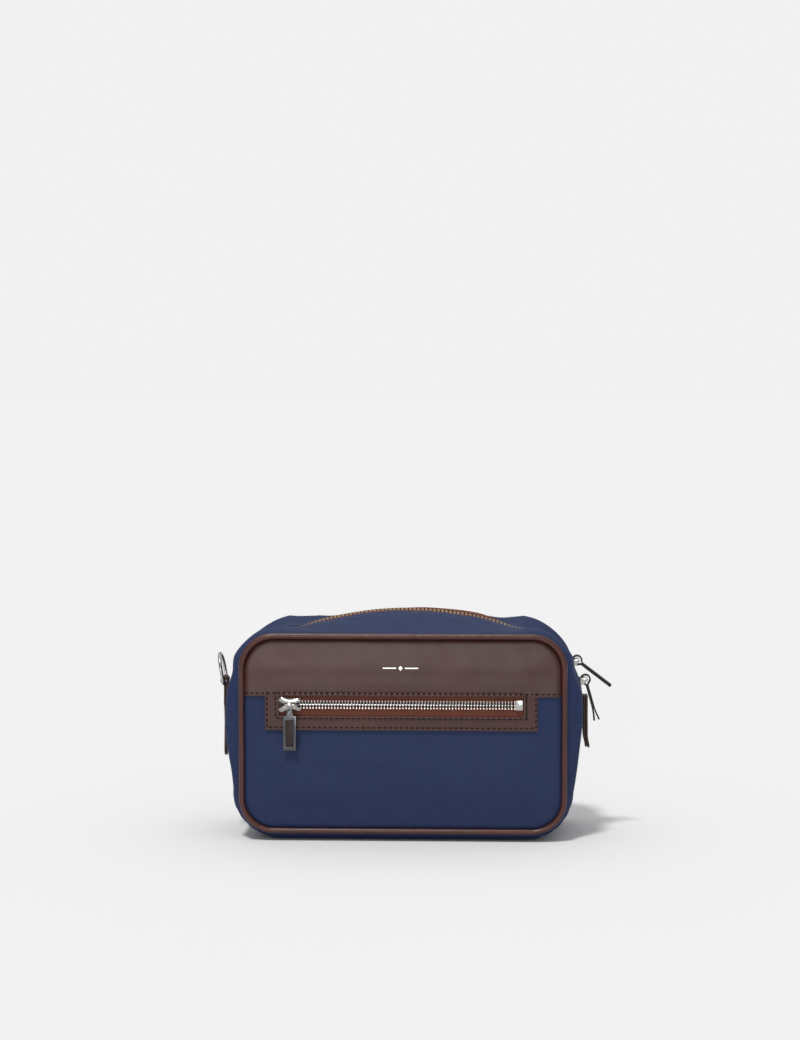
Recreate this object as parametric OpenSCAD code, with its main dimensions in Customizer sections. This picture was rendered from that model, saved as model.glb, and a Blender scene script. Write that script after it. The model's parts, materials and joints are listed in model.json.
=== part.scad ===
// Soft shaving kit bag with a leather yoke, a front zip pocket and a two-slider top zip.
// Frame: X right seen from the front, Y to the back, Z up, millimetres.
// The origin is the centre of the flat resting face.

/* [Bag body] */
// Width of the front face over its piping
body_w = 226; // [206:1:246]
// Height of the front face over its piping
body_h = 138.7; // [130:0.1:148]
// Depth over both pipings
body_d = 90; // [84:1:104]
// Radius of the piping line at the face corners
corner_r = 27; // [23:0.5:31]
// How far the bottom sags below the piping
base_sag = 5; // [3:0.5:7]
// How far the sides swell past the piping line
side_swell = 14; // [11:0.5:16]
// How far the closed mouth domes above its edge seams
crown_rise = 11.4; // [8:0.1:14]
// Outer fabric with its foam
shell_t = 1.6; // [1.2:0.1:1.8]

/* [Leather] */
// Radius of the leather piping
pipe_r = 2; // [1.7:0.1:2.2]
// Thickness of the yoke leather
yoke_t = 1.2; // [0.9:0.1:1.4]
// Drop of the yoke from the piping line to its lower edge
yoke_drop = 41.2; // [38:0.1:44]
// Length of the right zip end tab
tab_right_len = 37; // [30:1:42]
// Length of the left zip end tab
tab_left_len = 35; // [28:1:40]
// Length of each leather strap pull from the centre of its loop
strap_len = 30; // [22:1:32]

/* [Pocket zip] */
// Length of the framed pocket slot
slot_w = 168; // [140:1:176]
// Height of the framed pocket slot
slot_h = 13.8; // [13:0.1:15]
// Leather margin round the slot
slot_rim = 9.6; // [8:0.1:10.5]
// Spacing of the pocket teeth
pocket_pitch = 2.1; // [2:0.1:3]
// Length of the hanging metal pull
pull_len = 24; // [20:1:30]

/* [Main zip] */
// Spacing of the main teeth
main_pitch = 2.8; // [2.4:0.1:3.4]
// Where the upper slider rests on the corner arc, degrees above level
upper_at = 30; // [29.5:0.5:32]
// Where the lower slider rests on the corner arc, degrees above level
lower_at = 17.5; // [17.5:0.5:18.5]

/* [Carry ring] */
// Inner width of the D ring
ring_inner_w = 19.6; // [19:0.1:22]
// Wire radius of the D ring
ring_wire_r = 1.2; // [1:0.1:1.3]
// Lean of the D ring outward from upright
ring_lean = 10; // [0:1:15]

/* [Hidden] */
$fn = 48;
navy = [0.14, 0.18, 0.30];
navy_strip = [0.17, 0.21, 0.34];
brown = [0.28, 0.17, 0.13];
dark_brown = [0.20, 0.12, 0.09];
tape_brown = [0.33, 0.19, 0.14];
silver = [0.74, 0.74, 0.73];
gunmetal = [0.22, 0.22, 0.24];
lining_grey = [0.45, 0.43, 0.40];
board_grey = [0.30, 0.30, 0.30];
foil = [0.86, 0.86, 0.84];

seam_half = body_w / 2 - pipe_r;
seam_lo = base_sag + pipe_r;
seam_hi = base_sag + body_h - pipe_r;
flat_half = seam_half - corner_r;
low_c = seam_lo + corner_r;
high_c = seam_hi - corner_r;
pipe_y = body_d / 2 - pipe_r;
edge_y = pipe_y - pipe_r - 0.7;
puff_y = edge_y - 6.6;
ridge_z = seam_hi + 3.6;
dome_half = flat_half - 12;
arc_r = 62;
full_half = seam_half + side_swell;
arc_x = full_half - arc_r;
arc_z = ridge_z - sqrt(arc_r * arc_r - (flat_half - arc_x) * (flat_half - arc_x));
arc_top = acos((flat_half - arc_x) / arc_r);
corner_len = corner_r * PI / 2;
upper_len = high_c - arc_z + corner_len;
part_gap = 0.3;
inner_t = 0.2;

// The mouth: how wide the flaps are and how far the fabric stays off the teeth
fold_y = 5.5;
tape_in = 3;
tape_out = 12;
teeth_out = 0.9;
teeth_in = 3.3;
tape_t0 = shell_t + 0.35;
tape_t1 = tape_t0 + 0.55;
line_t0 = shell_t + 2;
line_t1 = line_t0 + 0.7;
mid_half = flat_half - part_gap;
side_join = 2.83;

// The front face, from the outside in
yoke_y = -(pipe_y + 1.4);
face_y = yoke_y + yoke_t;
back_of_face = face_y + 1.2;
slot_z = seam_hi - yoke_drop - 0.05 - slot_h / 2;
slot_x = -1;
slot_l = slot_x - slot_w / 2;
slot_r = slot_x + slot_w / 2;
chain_half = 3;
chain_z = slot_z + 1.2;
slit = 0.6;
slider_half = 7.5;
slider_x = slot_l + slider_half + 0.2;
stop_l = slot_r - 5.7;
pin_r = 0.7;
pin_gap = 0.08;
bar_y = yoke_y - 3.8;
link_drop = 4.6;
pull_z = chain_z - link_drop;

// The carry ring
loop_x = -(full_half + 2.3);
loop_z = arc_z + 19;
loop_half = 8.5;
tab_z = arc_z + arc_r * sin(8.6);
flex_left_z = arc_z + 0.5;
flex_right_z = arc_z - 3;
tab_t = 3.6;

// ---- The bag's skin: one station runs from 0 at the middle of the bottom, up the right
// ---- side, to 5 at the middle of the top and on round the left side to 10.

function turn(q) = q < 0 ? q + 10 : q >= 10 ? q - 10 : q;
function rung(q) = turn(q) <= 5 ? turn(q) : 10 - turn(q);
function side_of(q) = turn(q) <= 5 ? 1 : -1;
function low_angle(s) = -90 + 90 * (s - 1);
function high_angle(s) =
    max(0, ((s - 3) * upper_len - (high_c - arc_z)) / corner_r * 180 / PI);

function seam_xz(s) =
    s < 1 ? [flat_half * s, seam_lo]
    : s < 2 ? [flat_half + corner_r * cos(low_angle(s)), low_c + corner_r * sin(low_angle(s))]
    : s < 3 ? [seam_half, low_c + (arc_z - low_c) * (s - 2)]
    : s >= 4 ? [flat_half * (5 - s), seam_hi]
    : high_angle(s) == 0 ? [seam_half, arc_z + (s - 3) * upper_len]
    : [flat_half + corner_r * cos(high_angle(s)), high_c + corner_r * sin(high_angle(s))];

function full_xz(s) =
    s < 1 ? [flat_half * s, 0]
    : s < 2 ? [flat_half + low_c * cos(low_angle(s)), low_c + low_c * sin(low_angle(s))]
    : s < 3 ? [flat_half + low_c + (full_half - flat_half - low_c) * sin(90 * (s - 2)),
        low_c + (arc_z - low_c) * (s - 2)]
    : s < 4 ? [arc_x + arc_r * cos(arc_top * (s - 3)), arc_z + arc_r * sin(arc_top * (s - 3))]
    : [flat_half * (5 - s), ridge_z];

function out_xz(s) =
    s < 1 ? [0, -1]
    : s < 2 ? [cos(low_angle(s)), sin(low_angle(s))]
    : s < 4 ? [cos(high_angle(s)), sin(high_angle(s))]
    : [0, 1];

function dome_at(x) = crown_rise * max(0, 1 - x * x / (dome_half * dome_half));
function dome(s) = s <= 4 ? 0 : dome_at(flat_half * (5 - s));
function puff(y) = abs(y) <= puff_y ? 1
    : sqrt(max(0, 1 - pow((abs(y) - puff_y) / (edge_y - puff_y), 2)));
function crown(y) = abs(y) >= puff_y ? 0 : 1 - y * y / (puff_y * puff_y);

// A point of the skin at station q and depth y, t below the outer surface
function skin(q, y, t) =
    let (s = rung(q), a = seam_xz(s), b = full_xz(s), n = out_xz(s), w = puff(y))
    [side_of(q) * (a[0] + (b[0] - a[0]) * w - n[0] * t), y,
        a[1] + (b[1] - a[1]) * w + dome(s) * crown(y) - n[1] * t];

// Stations between two others, close together only where the skin curves
function stations(q0, q1) = concat([q0],
    [for (i = [-28:84]) let (q = i / 7)
        if (q > q0 + 0.05 && q < q1 - 0.05 && rung(q) >= 1) q], [q1]);

// Depth lines across the shoulder of the front or back strip
function shoulder(y_in) = [-edge_y, -edge_y + 1.2, -edge_y + 3.4, -puff_y, y_in];
function flap_lines(y_in) = [-edge_y, -edge_y + 1.2, -edge_y + 3.4, -puff_y, -24, -14, y_in];
function flipped(ys) = [for (i = [len(ys) - 1:-1:0]) -ys[i]];

// A closed sheet of the skin between two depths below the surface
module skin_sheet(qs, ys, t_out, t_in) {
    nq = len(qs);
    ny = len(ys);
    n = nq * ny;
    points = concat([for (q = qs) for (y = ys) skin(q, y, t_out)],
        [for (q = qs) for (y = ys) skin(q, y, t_in)]);
    function at(i, j) = i * ny + j;
    faces = concat(
        [for (i = [0:nq - 2]) for (j = [0:ny - 2]) for (k = [0:3])
            k == 0 ? [at(i, j), at(i + 1, j), at(i + 1, j + 1)]
            : k == 1 ? [at(i, j), at(i + 1, j + 1), at(i, j + 1)]
            : k == 2 ? [n + at(i, j), n + at(i + 1, j + 1), n + at(i + 1, j)]
            : [n + at(i, j), n + at(i, j + 1), n + at(i + 1, j + 1)]],
        [for (i = [0:nq - 2]) for (k = [0:3])
            k == 0 ? [at(i, 0), n + at(i, 0), n + at(i + 1, 0)]
            : k == 1 ? [at(i, 0), n + at(i + 1, 0), at(i + 1, 0)]
            : k == 2 ? [at(i, ny - 1), n + at(i + 1, ny - 1), n + at(i, ny - 1)]
            : [at(i, ny - 1), at(i + 1, ny - 1), n + at(i + 1, ny - 1)]],
        [for (j = [0:ny - 2]) for (k = [0:3])
            k == 0 ? [at(0, j), at(0, j + 1), n + at(0, j + 1)]
            : k == 1 ? [at(0, j), n + at(0, j + 1), n + at(0, j)]
            : k == 2 ? [at(nq - 1, j), n + at(nq - 1, j + 1), at(nq - 1, j + 1)]
            : [at(nq - 1, j), n + at(nq - 1, j), n + at(nq - 1, j + 1)]]);
    polyhedron(points = points, faces = faces, convexity = 6);
}

// ---- Shared shapes

// The face outline, inset from the piping line
module face_outline(inset) {
    r = corner_r - inset;
    for (x = [-flat_half, flat_half])
        for (z = [low_c, high_c])
            translate([x, z])
                circle(r);
    translate([-flat_half, low_c - r])
        square([2 * flat_half, high_c - low_c + 2 * r]);
    translate([-flat_half - r, low_c])
        square([2 * flat_half + 2 * r, high_c - low_c]);
}

// A plate drawn as seen from the front, from depth y0 to y1
module plate(y0, y1) {
    translate([0, y1, 0])
        rotate([90, 0, 0])
            linear_extrude(height = y1 - y0)
                children();
}

// A round-cornered loop of round piping at depth y
module piping_loop(y) {
    for (z = [seam_lo, seam_hi])
        translate([-flat_half, y, z])
            rotate([0, 90, 0])
                cylinder(r = pipe_r, h = 2 * flat_half);
    for (x = [-seam_half, seam_half])
        translate([x, y, low_c])
            cylinder(r = pipe_r, h = high_c - low_c);
    corners = [[flat_half, high_c, 0], [-flat_half, high_c, 90],
        [-flat_half, low_c, 180], [flat_half, low_c, 270]];
    for (c = corners)
        translate([c[0], y, c[1]])
            rotate([90, 0, 0])
                rotate([0, 0, c[2]])
                    rotate_extrude(angle = 90)
                        translate([corner_r, 0])
                            circle(pipe_r);
}

// A flat seam tape standing round the inside of a face
module binding_loop(y0, y1) {
    plate(y0, y1)
        difference() {
            face_outline(5.4);
            face_outline(6.6);
        }
}

// Moves what is drawn at the origin onto a corner arc, its +X pointing outward
module on_side_arc(side, angle) {
    translate([side * arc_x, 0, arc_z])
        rotate([0, side > 0 ? -angle : angle - 180, 0])
            translate([arc_r, 0, 0])
                children();
}

module on_arc(angle) {
    on_side_arc(1, angle)
        children();
}

// A strip of arc about the corner centre, between two radii and two depths
module arc_band(side, a0, a1, r0, r1, y0, y1) {
    translate([side * arc_x, 0, arc_z])
        rotate([90, 0, 0])
            rotate([0, 0, side > 0 ? a0 : 180 - a1])
                rotate_extrude(angle = a1 - a0)
                    translate([r0, -y1])
                        square([r1 - r0, y1 - y0]);
}

// One side's main teeth, front and back halves, over a stretch of the corner arc
module arc_teeth(side, a0, a1) {
    step = main_pitch / arc_r * 180 / PI;
    long = main_pitch * 0.54;
    count = floor((a1 - a0) / step);
    for (i = [0:count - 1])
        for (row = [0, 1])
            on_side_arc(side, a0 + (i + 0.3 + row * 0.45) * step)
                translate([-teeth_in, row == 0 ? -tape_in : slit, -long / 2])
                    cube([teeth_in - teeth_out, tape_in - slit, long]);
}

// One row of main teeth over the crown of the mouth
module crown_teeth(back) {
    count = floor(2 * (mid_half - 1) / main_pitch);
    width = main_pitch * 0.54;
    for (i = [0:count - 1]) {
        x = -mid_half + 1 + (i + (back ? 0.5 : 0)) * main_pitch + width / 2;
        z = ridge_z + dome_at(x);
        slope = abs(x) < dome_half ? atan(2 * crown_rise * x / (dome_half * dome_half)) : 0;
        translate([x, back ? part_gap / 2 : -tape_in, z])
            rotate([0, slope, 0])
                translate([-width / 2, 0, -teeth_in])
                    cube([width, tape_in - part_gap / 2, teeth_in - teeth_out]);
    }
}

// ---- Front face

module front_panel() {
    color(navy)
        plate(face_y, back_of_face)
            difference() {
                face_outline(2.05);
                translate([slot_l - 6, chain_z - 13.4])
                    square([slot_w + 12, 26.8]);
            }
}

module leather_yoke() {
    color(brown)
        plate(yoke_y, face_y)
            difference() {
                union() {
                    intersection() {
                        face_outline(2.05);
                        translate([-body_w, seam_hi - yoke_drop])
                            square([2 * body_w, body_h]);
                    }
                    translate([slot_l - slot_rim, slot_z - slot_h / 2 - slot_rim])
                        square([slot_w + 2 * slot_rim, slot_h + slot_rim + 1]);
                }
                translate([slot_l, slot_z - slot_h / 2])
                    square([slot_w, slot_h]);
            }
}

// A plain bar, lozenge, bar in place of any lettering
module foil_ornament() {
    foil_z = seam_hi - 21.7;
    color(foil)
        plate(yoke_y - 0.2, yoke_y) {
            translate([-1.4, foil_z])
                circle(1.5, $fn = 4);
            for (x = [-13.5, 1.7])
                translate([x, foil_z - 0.35])
                    square([9, 0.7]);
        }
}

module pocket_tape(up) {
    color(tape_brown)
        plate(face_y, face_y + 0.6)
            translate([slot_l - 5, up ? chain_z + chain_half : chain_z - 13])
                square([slot_w + 10, 13 - chain_half]);
}

module pocket_tape_upper() {
    pocket_tape(true);
}

module pocket_tape_lower() {
    pocket_tape(false);
}

// A comb of teeth along the tape edge, leaving a slit for the slider's neck
module pocket_comb(up) {
    first = slider_x + slider_half + 0.4;
    count = floor((stop_l - first) / pocket_pitch);
    color(silver)
        plate(face_y - 0.9, face_y + 1.3)
            translate([0, chain_z])
                mirror([0, up ? 0 : 1]) {
                    translate([first, chain_half - 0.8])
                        square([stop_l - first, 0.8]);
                    for (i = [0:count - 1])
                        translate([first + (i + (up ? 0 : 0.45)) * pocket_pitch, slit])
                            square([pocket_pitch * 0.5, chain_half - slit - 0.4]);
                }
}

module pocket_teeth_upper() {
    pocket_comb(true);
}

module pocket_teeth_lower() {
    pocket_comb(false);
}

module pocket_box_stop() {
    color(silver)
        plate(face_y - 1.4, face_y - 0.05)
            translate([stop_l, chain_z - 3.4])
                square([5.2, 6.8]);
    color(silver)
        plate(face_y - 0.05, face_y + 1.6)
            translate([stop_l, chain_z - 2.9])
                square([5.2, 5.8]);
}

module pocket_top_stops() {
    color(silver)
        plate(face_y, face_y + 1.4)
            for (z = [-2.9, 0.7])
                translate([slot_l - 3.4, chain_z + z])
                    square([2.2, 2.2]);
}

// The pouch behind the slot: an open-fronted tray of thin lining cloth
module pocket_pouch() {
    left = slot_l - 10;
    wide = slot_w + 20;
    low = low_c - 10;
    tall = chain_z + 17 - low;
    color(lining_grey)
        difference() {
            plate(back_of_face, back_of_face + 3.6)
                translate([left, low])
                    square([wide, tall]);
            plate(back_of_face - 1, back_of_face + 3)
                translate([left + 0.6, low + 0.6])
                    square([wide - 1.2, tall - 1.2]);
        }
}

module back_panel() {
    color(navy)
        plate(-face_y - 1.2, -face_y)
            face_outline(2.05);
}

module piping_front() {
    color(dark_brown)
        piping_loop(-pipe_y);
}

module piping_back() {
    color(dark_brown)
        piping_loop(pipe_y);
}

// ---- Gusset and zip strips

module base_gusset() {
    ys = concat(shoulder(0), flipped([-edge_y, -edge_y + 1.2, -edge_y + 3.4, -puff_y]));
    color(navy)
        skin_sheet(stations(-side_join, side_join), ys, 0, shell_t);
}

module strip_front_right() {
    color(navy_strip)
        skin_sheet(stations(side_join + 0.01, 4), shoulder(-fold_y), 0, shell_t);
}

module strip_front_left() {
    color(navy_strip)
        skin_sheet(stations(6, 10 - side_join - 0.01), shoulder(-fold_y), 0, shell_t);
}

module strip_back_right() {
    color(navy_strip)
        skin_sheet(stations(side_join + 0.01, 4), flipped(shoulder(-fold_y)), 0, shell_t);
}

module strip_back_left() {
    color(navy_strip)
        skin_sheet(stations(6, 10 - side_join - 0.01), flipped(shoulder(-fold_y)), 0, shell_t);
}

module corner_tape(side, a0) {
    color(tape_brown)
        for (half = [0, 1])
            arc_band(side, a0, arc_top - 1.2, arc_r - tape_t1, arc_r - tape_t0,
                half == 0 ? -tape_out : tape_in, half == 0 ? -tape_in : tape_out);
}

module zip_tape_right() {
    corner_tape(1, 6);
}

module zip_tape_left() {
    corner_tape(-1, 18);
}

module zip_teeth_right() {
    color(silver)
        arc_teeth(1, 9.5, arc_top - 0.5);
}

module zip_teeth_left() {
    color(silver)
        arc_teeth(-1, 24, arc_top - 0.5);
}

// Small clamps that close the tooth rows at both ends of the main zip
module zip_end_stops() {
    color(silver) {
        arc_band(1, 6.6, 8.6, arc_r - teeth_in, arc_r - 0.6, -2.9, 2.9);
        arc_band(-1, 21, 23, arc_r - teeth_in, arc_r - 0.6, -2.9, 2.9);
    }
}

// ---- Mouth flaps, the moving middle of the front and back zip strips

function mouth_stations() = concat([4 + part_gap / flat_half],
    [for (i = [-6:6]) 5 + i / 6 * dome_half / flat_half], [6 - part_gap / flat_half]);

module flap_front() {
    color(navy_strip)
        skin_sheet(mouth_stations(), flap_lines(-fold_y), 0, shell_t);
}

module flap_back() {
    color(navy_strip)
        skin_sheet(mouth_stations(), flipped(flap_lines(-fold_y)), 0, shell_t);
}

module flap_tape_front() {
    color(tape_brown)
        skin_sheet(mouth_stations(), [-tape_out, -tape_in], tape_t0, tape_t1);
}

module flap_tape_back() {
    color(tape_brown)
        skin_sheet(mouth_stations(), [tape_in, tape_out], tape_t0, tape_t1);
}

module flap_teeth_front() {
    color(silver)
        crown_teeth(false);
}

module flap_teeth_back() {
    color(silver)
        crown_teeth(true);
}

module flap_lining_front() {
    color(lining_grey)
        skin_sheet(mouth_stations(), [-edge_y + 4, -puff_y, -24, -tape_out - 0.6],
            line_t0, line_t1);
}

module flap_lining_back() {
    color(lining_grey)
        skin_sheet(mouth_stations(), [tape_out + 0.6, 24, puff_y, edge_y - 4],
            line_t0, line_t1);
}

// ---- Inside

module lining_front() {
    color(lining_grey)
        plate(back_of_face + 3.8, back_of_face + 4.5)
            face_outline(7);
}

module lining_back() {
    color(lining_grey)
        plate(-back_of_face - 4.5, -back_of_face - 3.8)
            face_outline(7);
}

module lining_gusset() {
    color(lining_grey)
        skin_sheet(stations(-side_join, side_join), [-edge_y + 4, -puff_y, puff_y, edge_y - 4],
            line_t0 + 0.4, line_t1 + 0.4);
}

module lining_side(q0, q1) {
    color(lining_grey) {
        skin_sheet(stations(q0, q1), [-edge_y + 4, -puff_y, -tape_out - 0.6], line_t0, line_t1);
        skin_sheet(stations(q0, q1), [tape_out + 0.6, puff_y, edge_y - 4], line_t0, line_t1);
    }
}

module lining_side_left() {
    lining_side(6, 10 - side_join - 0.03);
}

module lining_side_right() {
    lining_side(side_join + 0.03, 4);
}

module base_board() {
    color(board_grey)
        translate([-flat_half, -puff_y, shell_t + 0.2])
            cube([2 * flat_half, 2 * puff_y, 1.6]);
}

module binding_front() {
    color(dark_brown)
        binding_loop(back_of_face, back_of_face + 3.8);
}

module binding_back() {
    color(dark_brown)
        binding_loop(-back_of_face - 3.8, -back_of_face);
}

// A slip pocket sewn to the back lining along its sides and bottom
module slip_pocket() {
    outer_y = -back_of_face - 4.5;
    color(lining_grey)
        difference() {
            plate(outer_y - 2.8, outer_y)
                translate([-62, low_c])
                    square([124, 66]);
            plate(outer_y - 2, outer_y + 1)
                translate([-61, low_c + 1])
                    square([122, 66]);
        }
}

// ---- Side fittings

// A folded leather loop on the left side that holds the D ring's bar
module d_ring_loop() {
    color(brown)
        plate(-loop_half, loop_half)
            difference() {
                union() {
                    translate([-full_half - 3.6, arc_z + 0.8])
                        square([3.3, loop_z - arc_z - 0.8]);
                    translate([loop_x, loop_z])
                        circle(ring_wire_r + 1.8);
                }
                translate([loop_x, loop_z])
                    circle(ring_wire_r + pin_gap);
            }
}

// Straight bar in the loop, two legs and a round bow
module d_ring() {
    bow_r = ring_inner_w / 2 + ring_wire_r;
    leg = 7.6;
    color(silver)
        translate([loop_x, 0, loop_z])
            rotate([0, -ring_lean, 0]) {
                translate([0, bow_r, 0])
                    rotate([90, 0, 0])
                        cylinder(r = ring_wire_r, h = 2 * bow_r);
                for (y = [-bow_r, bow_r]) {
                    translate([0, y, 0])
                        cylinder(r = ring_wire_r, h = leg);
                    translate([0, y, 0])
                        sphere(ring_wire_r);
                }
                translate([0, 0, leg])
                    rotate([0, -90, 0])
                        rotate([0, 0, -90])
                            rotate_extrude(angle = 180)
                                translate([bow_r, 0])
                                    circle(ring_wire_r);
            }
}

// The free end of the long strip under the loop
module end_tab_left() {
    color(brown)
        plate(-6, 6)
            translate([-full_half - 2.5, flex_left_z - tab_left_len]) {
                translate([0, 0.9])
                    square([1.8, tab_left_len - 0.9]);
                translate([0.9, 0.9])
                    circle(0.9);
            }
}

// The sewn top of the right zip end tab
module end_tab_cap_right() {
    color(brown)
        plate(-7, 7)
            translate([full_half + 0.3, flex_right_z + part_gap])
                square([tab_t, tab_z - flex_right_z - part_gap]);
}

// The free hand-hold end of the right tab, tapered at its tip
module end_tab_right() {
    drop = tab_right_len - (tab_z - flex_right_z);
    color(brown)
        plate(-7, 7)
            translate([full_half + 0.3, flex_right_z])
                polygon([[0, 0], [tab_t, 0], [tab_t + 1.6, -drop + 5], [tab_t + 1, -drop],
                    [tab_t - 0.6, -drop], [0.6, -drop + 9]]);
}

// ---- Sliders

// Seen from above: broad shoulders at the mouth end, narrow at the tail
module slider_plate(long, wide, tail) {
    polygon([[-long, -wide + 1.6], [-long + 1.6, -wide], [-long * 0.2, -wide],
        [long * 0.35, -tail], [long - 0.8, -tail], [long, -tail + 0.8],
        [long, tail - 0.8], [long - 0.8, tail], [long * 0.35, tail],
        [-long * 0.2, wide], [-long + 1.6, wide], [-long, wide - 1.6]]);
}

// Two plates joined by a thin neck, with a bar held on two posts in front
module pocket_slider() {
    top_y = face_y - 1.3;
    color(silver)
        translate([slider_x, 0, chain_z]) {
            plate(top_y - 1.5, top_y)
                slider_plate(slider_half, 5.2, 4.2);
            plate(face_y + 1.7, face_y + 2.6)
                slider_plate(slider_half, 5, 4);
            plate(top_y, face_y + 1.7)
                translate([-slider_half + 1, -0.3])
                    square([2.4, 0.6]);
            for (x = [-5.4, 4])
                plate(bar_y - 1, top_y - 1.5)
                    translate([x, -1.3])
                        square([1.4, 2.6]);
            translate([-5, bar_y, 0])
                rotate([0, 90, 0])
                    cylinder(r = pin_r, h = 10);
        }
}

// Turns on the slider's bar; the pull swings on its lower eye
module pocket_link() {
    color(silver)
        translate([slider_x, 0, chain_z])
            difference() {
                union() {
                    translate([-1.6, bar_y, 0])
                        rotate([0, 90, 0])
                            cylinder(r = 1.65, h = 3.2);
                    plate(bar_y - 0.45, bar_y + 0.45)
                        translate([-1.6, -link_drop])
                            square([3.2, link_drop]);
                    plate(bar_y - 0.45, bar_y + 0.45)
                        translate([0, -link_drop])
                            circle(1.6);
                }
                translate([-2, bar_y, 0])
                    rotate([0, 90, 0])
                        cylinder(r = pin_r + pin_gap, h = 4);
                translate([0, bar_y + 1, -link_drop])
                    rotate([90, 0, 0])
                        cylinder(r = pin_r + pin_gap, h = 2);
            }
}

// Flat metal frame with a forked head on a pin
module pocket_pull_frame() {
    body_top = pull_z - 2.6;
    color(gunmetal) {
        difference() {
            union() {
                plate(bar_y - 1.4, bar_y + 1.4)
                    translate([slider_x - 4.5, body_top - pull_len])
                        square([9, pull_len]);
                plate(bar_y - 1.4, bar_y + 1.4)
                    translate([slider_x - 2.2, body_top - 0.5])
                        square([4.4, 3.1]);
                plate(bar_y - 1.4, bar_y + 1.4)
                    translate([slider_x, pull_z])
                        circle(2.2);
            }
            plate(bar_y - 0.75, bar_y + 0.75)
                translate([slider_x - 3, pull_z - 2])
                    square([6, 5]);
            plate(bar_y - 2, bar_y + 2)
                translate([slider_x - 2.8, body_top - pull_len + 2.4])
                    square([5.6, pull_len - 5.4]);
        }
        translate([slider_x, bar_y + 1.3, pull_z])
            rotate([90, 0, 0])
                cylinder(r = pin_r, h = 2.6);
    }
}

// Leather set into the frame's window
module pocket_pull_inlay() {
    body_top = pull_z - 2.6;
    color(dark_brown)
        plate(bar_y - 1, bar_y + 1)
            translate([slider_x - 2.8, body_top - pull_len + 2.4])
                square([5.6, pull_len - 5.4]);
}

// A main slider at the origin: +X outward, +Z up along the zip, tail up or down
module main_slider(tail_up) {
    color(silver)
        mirror([0, 0, tail_up ? 1 : 0]) {
            rotate([0, 90, 0]) {
                translate([0, 0, -0.35])
                    linear_extrude(height = 1.45)
                        slider_plate(5, 4.9, 3.9);
                translate([0, 0, -5])
                    linear_extrude(height = 1.1)
                        slider_plate(5, 4.6, 3.7);
            }
            translate([-4, -0.3, 2.4])
                cube([3.8, 0.6, 2]);
        }
}

// Height of the bail's bar over the zip line, and the strap loop round it
bail_up = 5.6;
bail_r = 0.9;
loop_in = 2.7;
loop_out = 3.7;
strap_half = 2.3;

// A bail on the slider's back: two cheeks and a bar across
module bail() {
    color(silver) {
        for (y = [-3.8, 2.7])
            translate([0, y + 1.1, 0])
                rotate([90, 0, 0])
                    linear_extrude(height = 1.1)
                        polygon([[1.1, -3], [1.1, 3], [bail_up + 0.6, 1.3],
                            [bail_up + 1.3, 0.5], [bail_up + 1.3, -0.5],
                            [bail_up + 0.6, -1.3]]);
        translate([bail_up, 2.75, 0])
            rotate([90, 0, 0])
                cylinder(r = bail_r, h = 5.5);
    }
}

// A folded leather strap, its loop at the origin, pointing along +X
module strap_pull(fork) {
    color(dark_brown)
        difference() {
            union() {
                translate([0, strap_half, 0])
                    rotate([90, 0, 0])
                        linear_extrude(height = 2 * strap_half) {
                            circle(loop_out);
                            translate([0, -1])
                                square([7, 2]);
                        }
                translate([6, -3.6, -1])
                    cube([strap_len - 6, 7.2, 2]);
            }
            translate([0, 5, 0])
                rotate([90, 0, 0])
                    cylinder(r = loop_in, h = 10);
            if (fork > 0)
                translate([strap_len - fork, -5, -0.25])
                    cube([fork + 1, 10, 0.5]);
        }
}

// How far each strap leans out from the zip line
upper_out = 22.7;
lower_out = -1.9;

// Places a strap on the slider resting at an angle of the arc
module on_bail(angle, out) {
    on_arc(angle)
        translate([bail_up, 0, 0])
            rotate([0, 90 - out, 0])
                children();
}

module upper_slider() {
    on_arc(upper_at)
        main_slider(true);
}

module upper_bail() {
    on_arc(upper_at)
        bail();
}

module upper_strap() {
    on_bail(upper_at, upper_out)
        strap_pull(0);
}

module lower_slider() {
    on_arc(lower_at)
        main_slider(false);
}

module lower_bail() {
    on_arc(lower_at)
        bail();
}

module lower_strap() {
    on_bail(lower_at, lower_out)
        strap_pull(8);
}

front_panel();
leather_yoke();
foil_ornament();
pocket_tape_upper();
pocket_tape_lower();
pocket_teeth_upper();
pocket_teeth_lower();
pocket_box_stop();
pocket_top_stops();
pocket_pouch();
back_panel();
piping_front();
piping_back();
base_gusset();
strip_front_left();
strip_front_right();
strip_back_left();
strip_back_right();
zip_tape_left();
zip_tape_right();
zip_teeth_left();
zip_teeth_right();
zip_end_stops();
lining_front();
lining_back();
lining_gusset();
lining_side_left();
lining_side_right();
base_board();
binding_front();
binding_back();
slip_pocket();
d_ring_loop();
end_tab_cap_right();
flap_front();
flap_tape_front();
flap_teeth_front();
flap_lining_front();
flap_back();
flap_tape_back();
flap_teeth_back();
flap_lining_back();
d_ring();
end_tab_left();
end_tab_right();
pocket_slider();
pocket_link();
pocket_pull_frame();
pocket_pull_inlay();
upper_slider();
upper_bail();
upper_strap();
lower_slider();
lower_bail();
lower_strap();
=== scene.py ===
import json
import math

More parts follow.
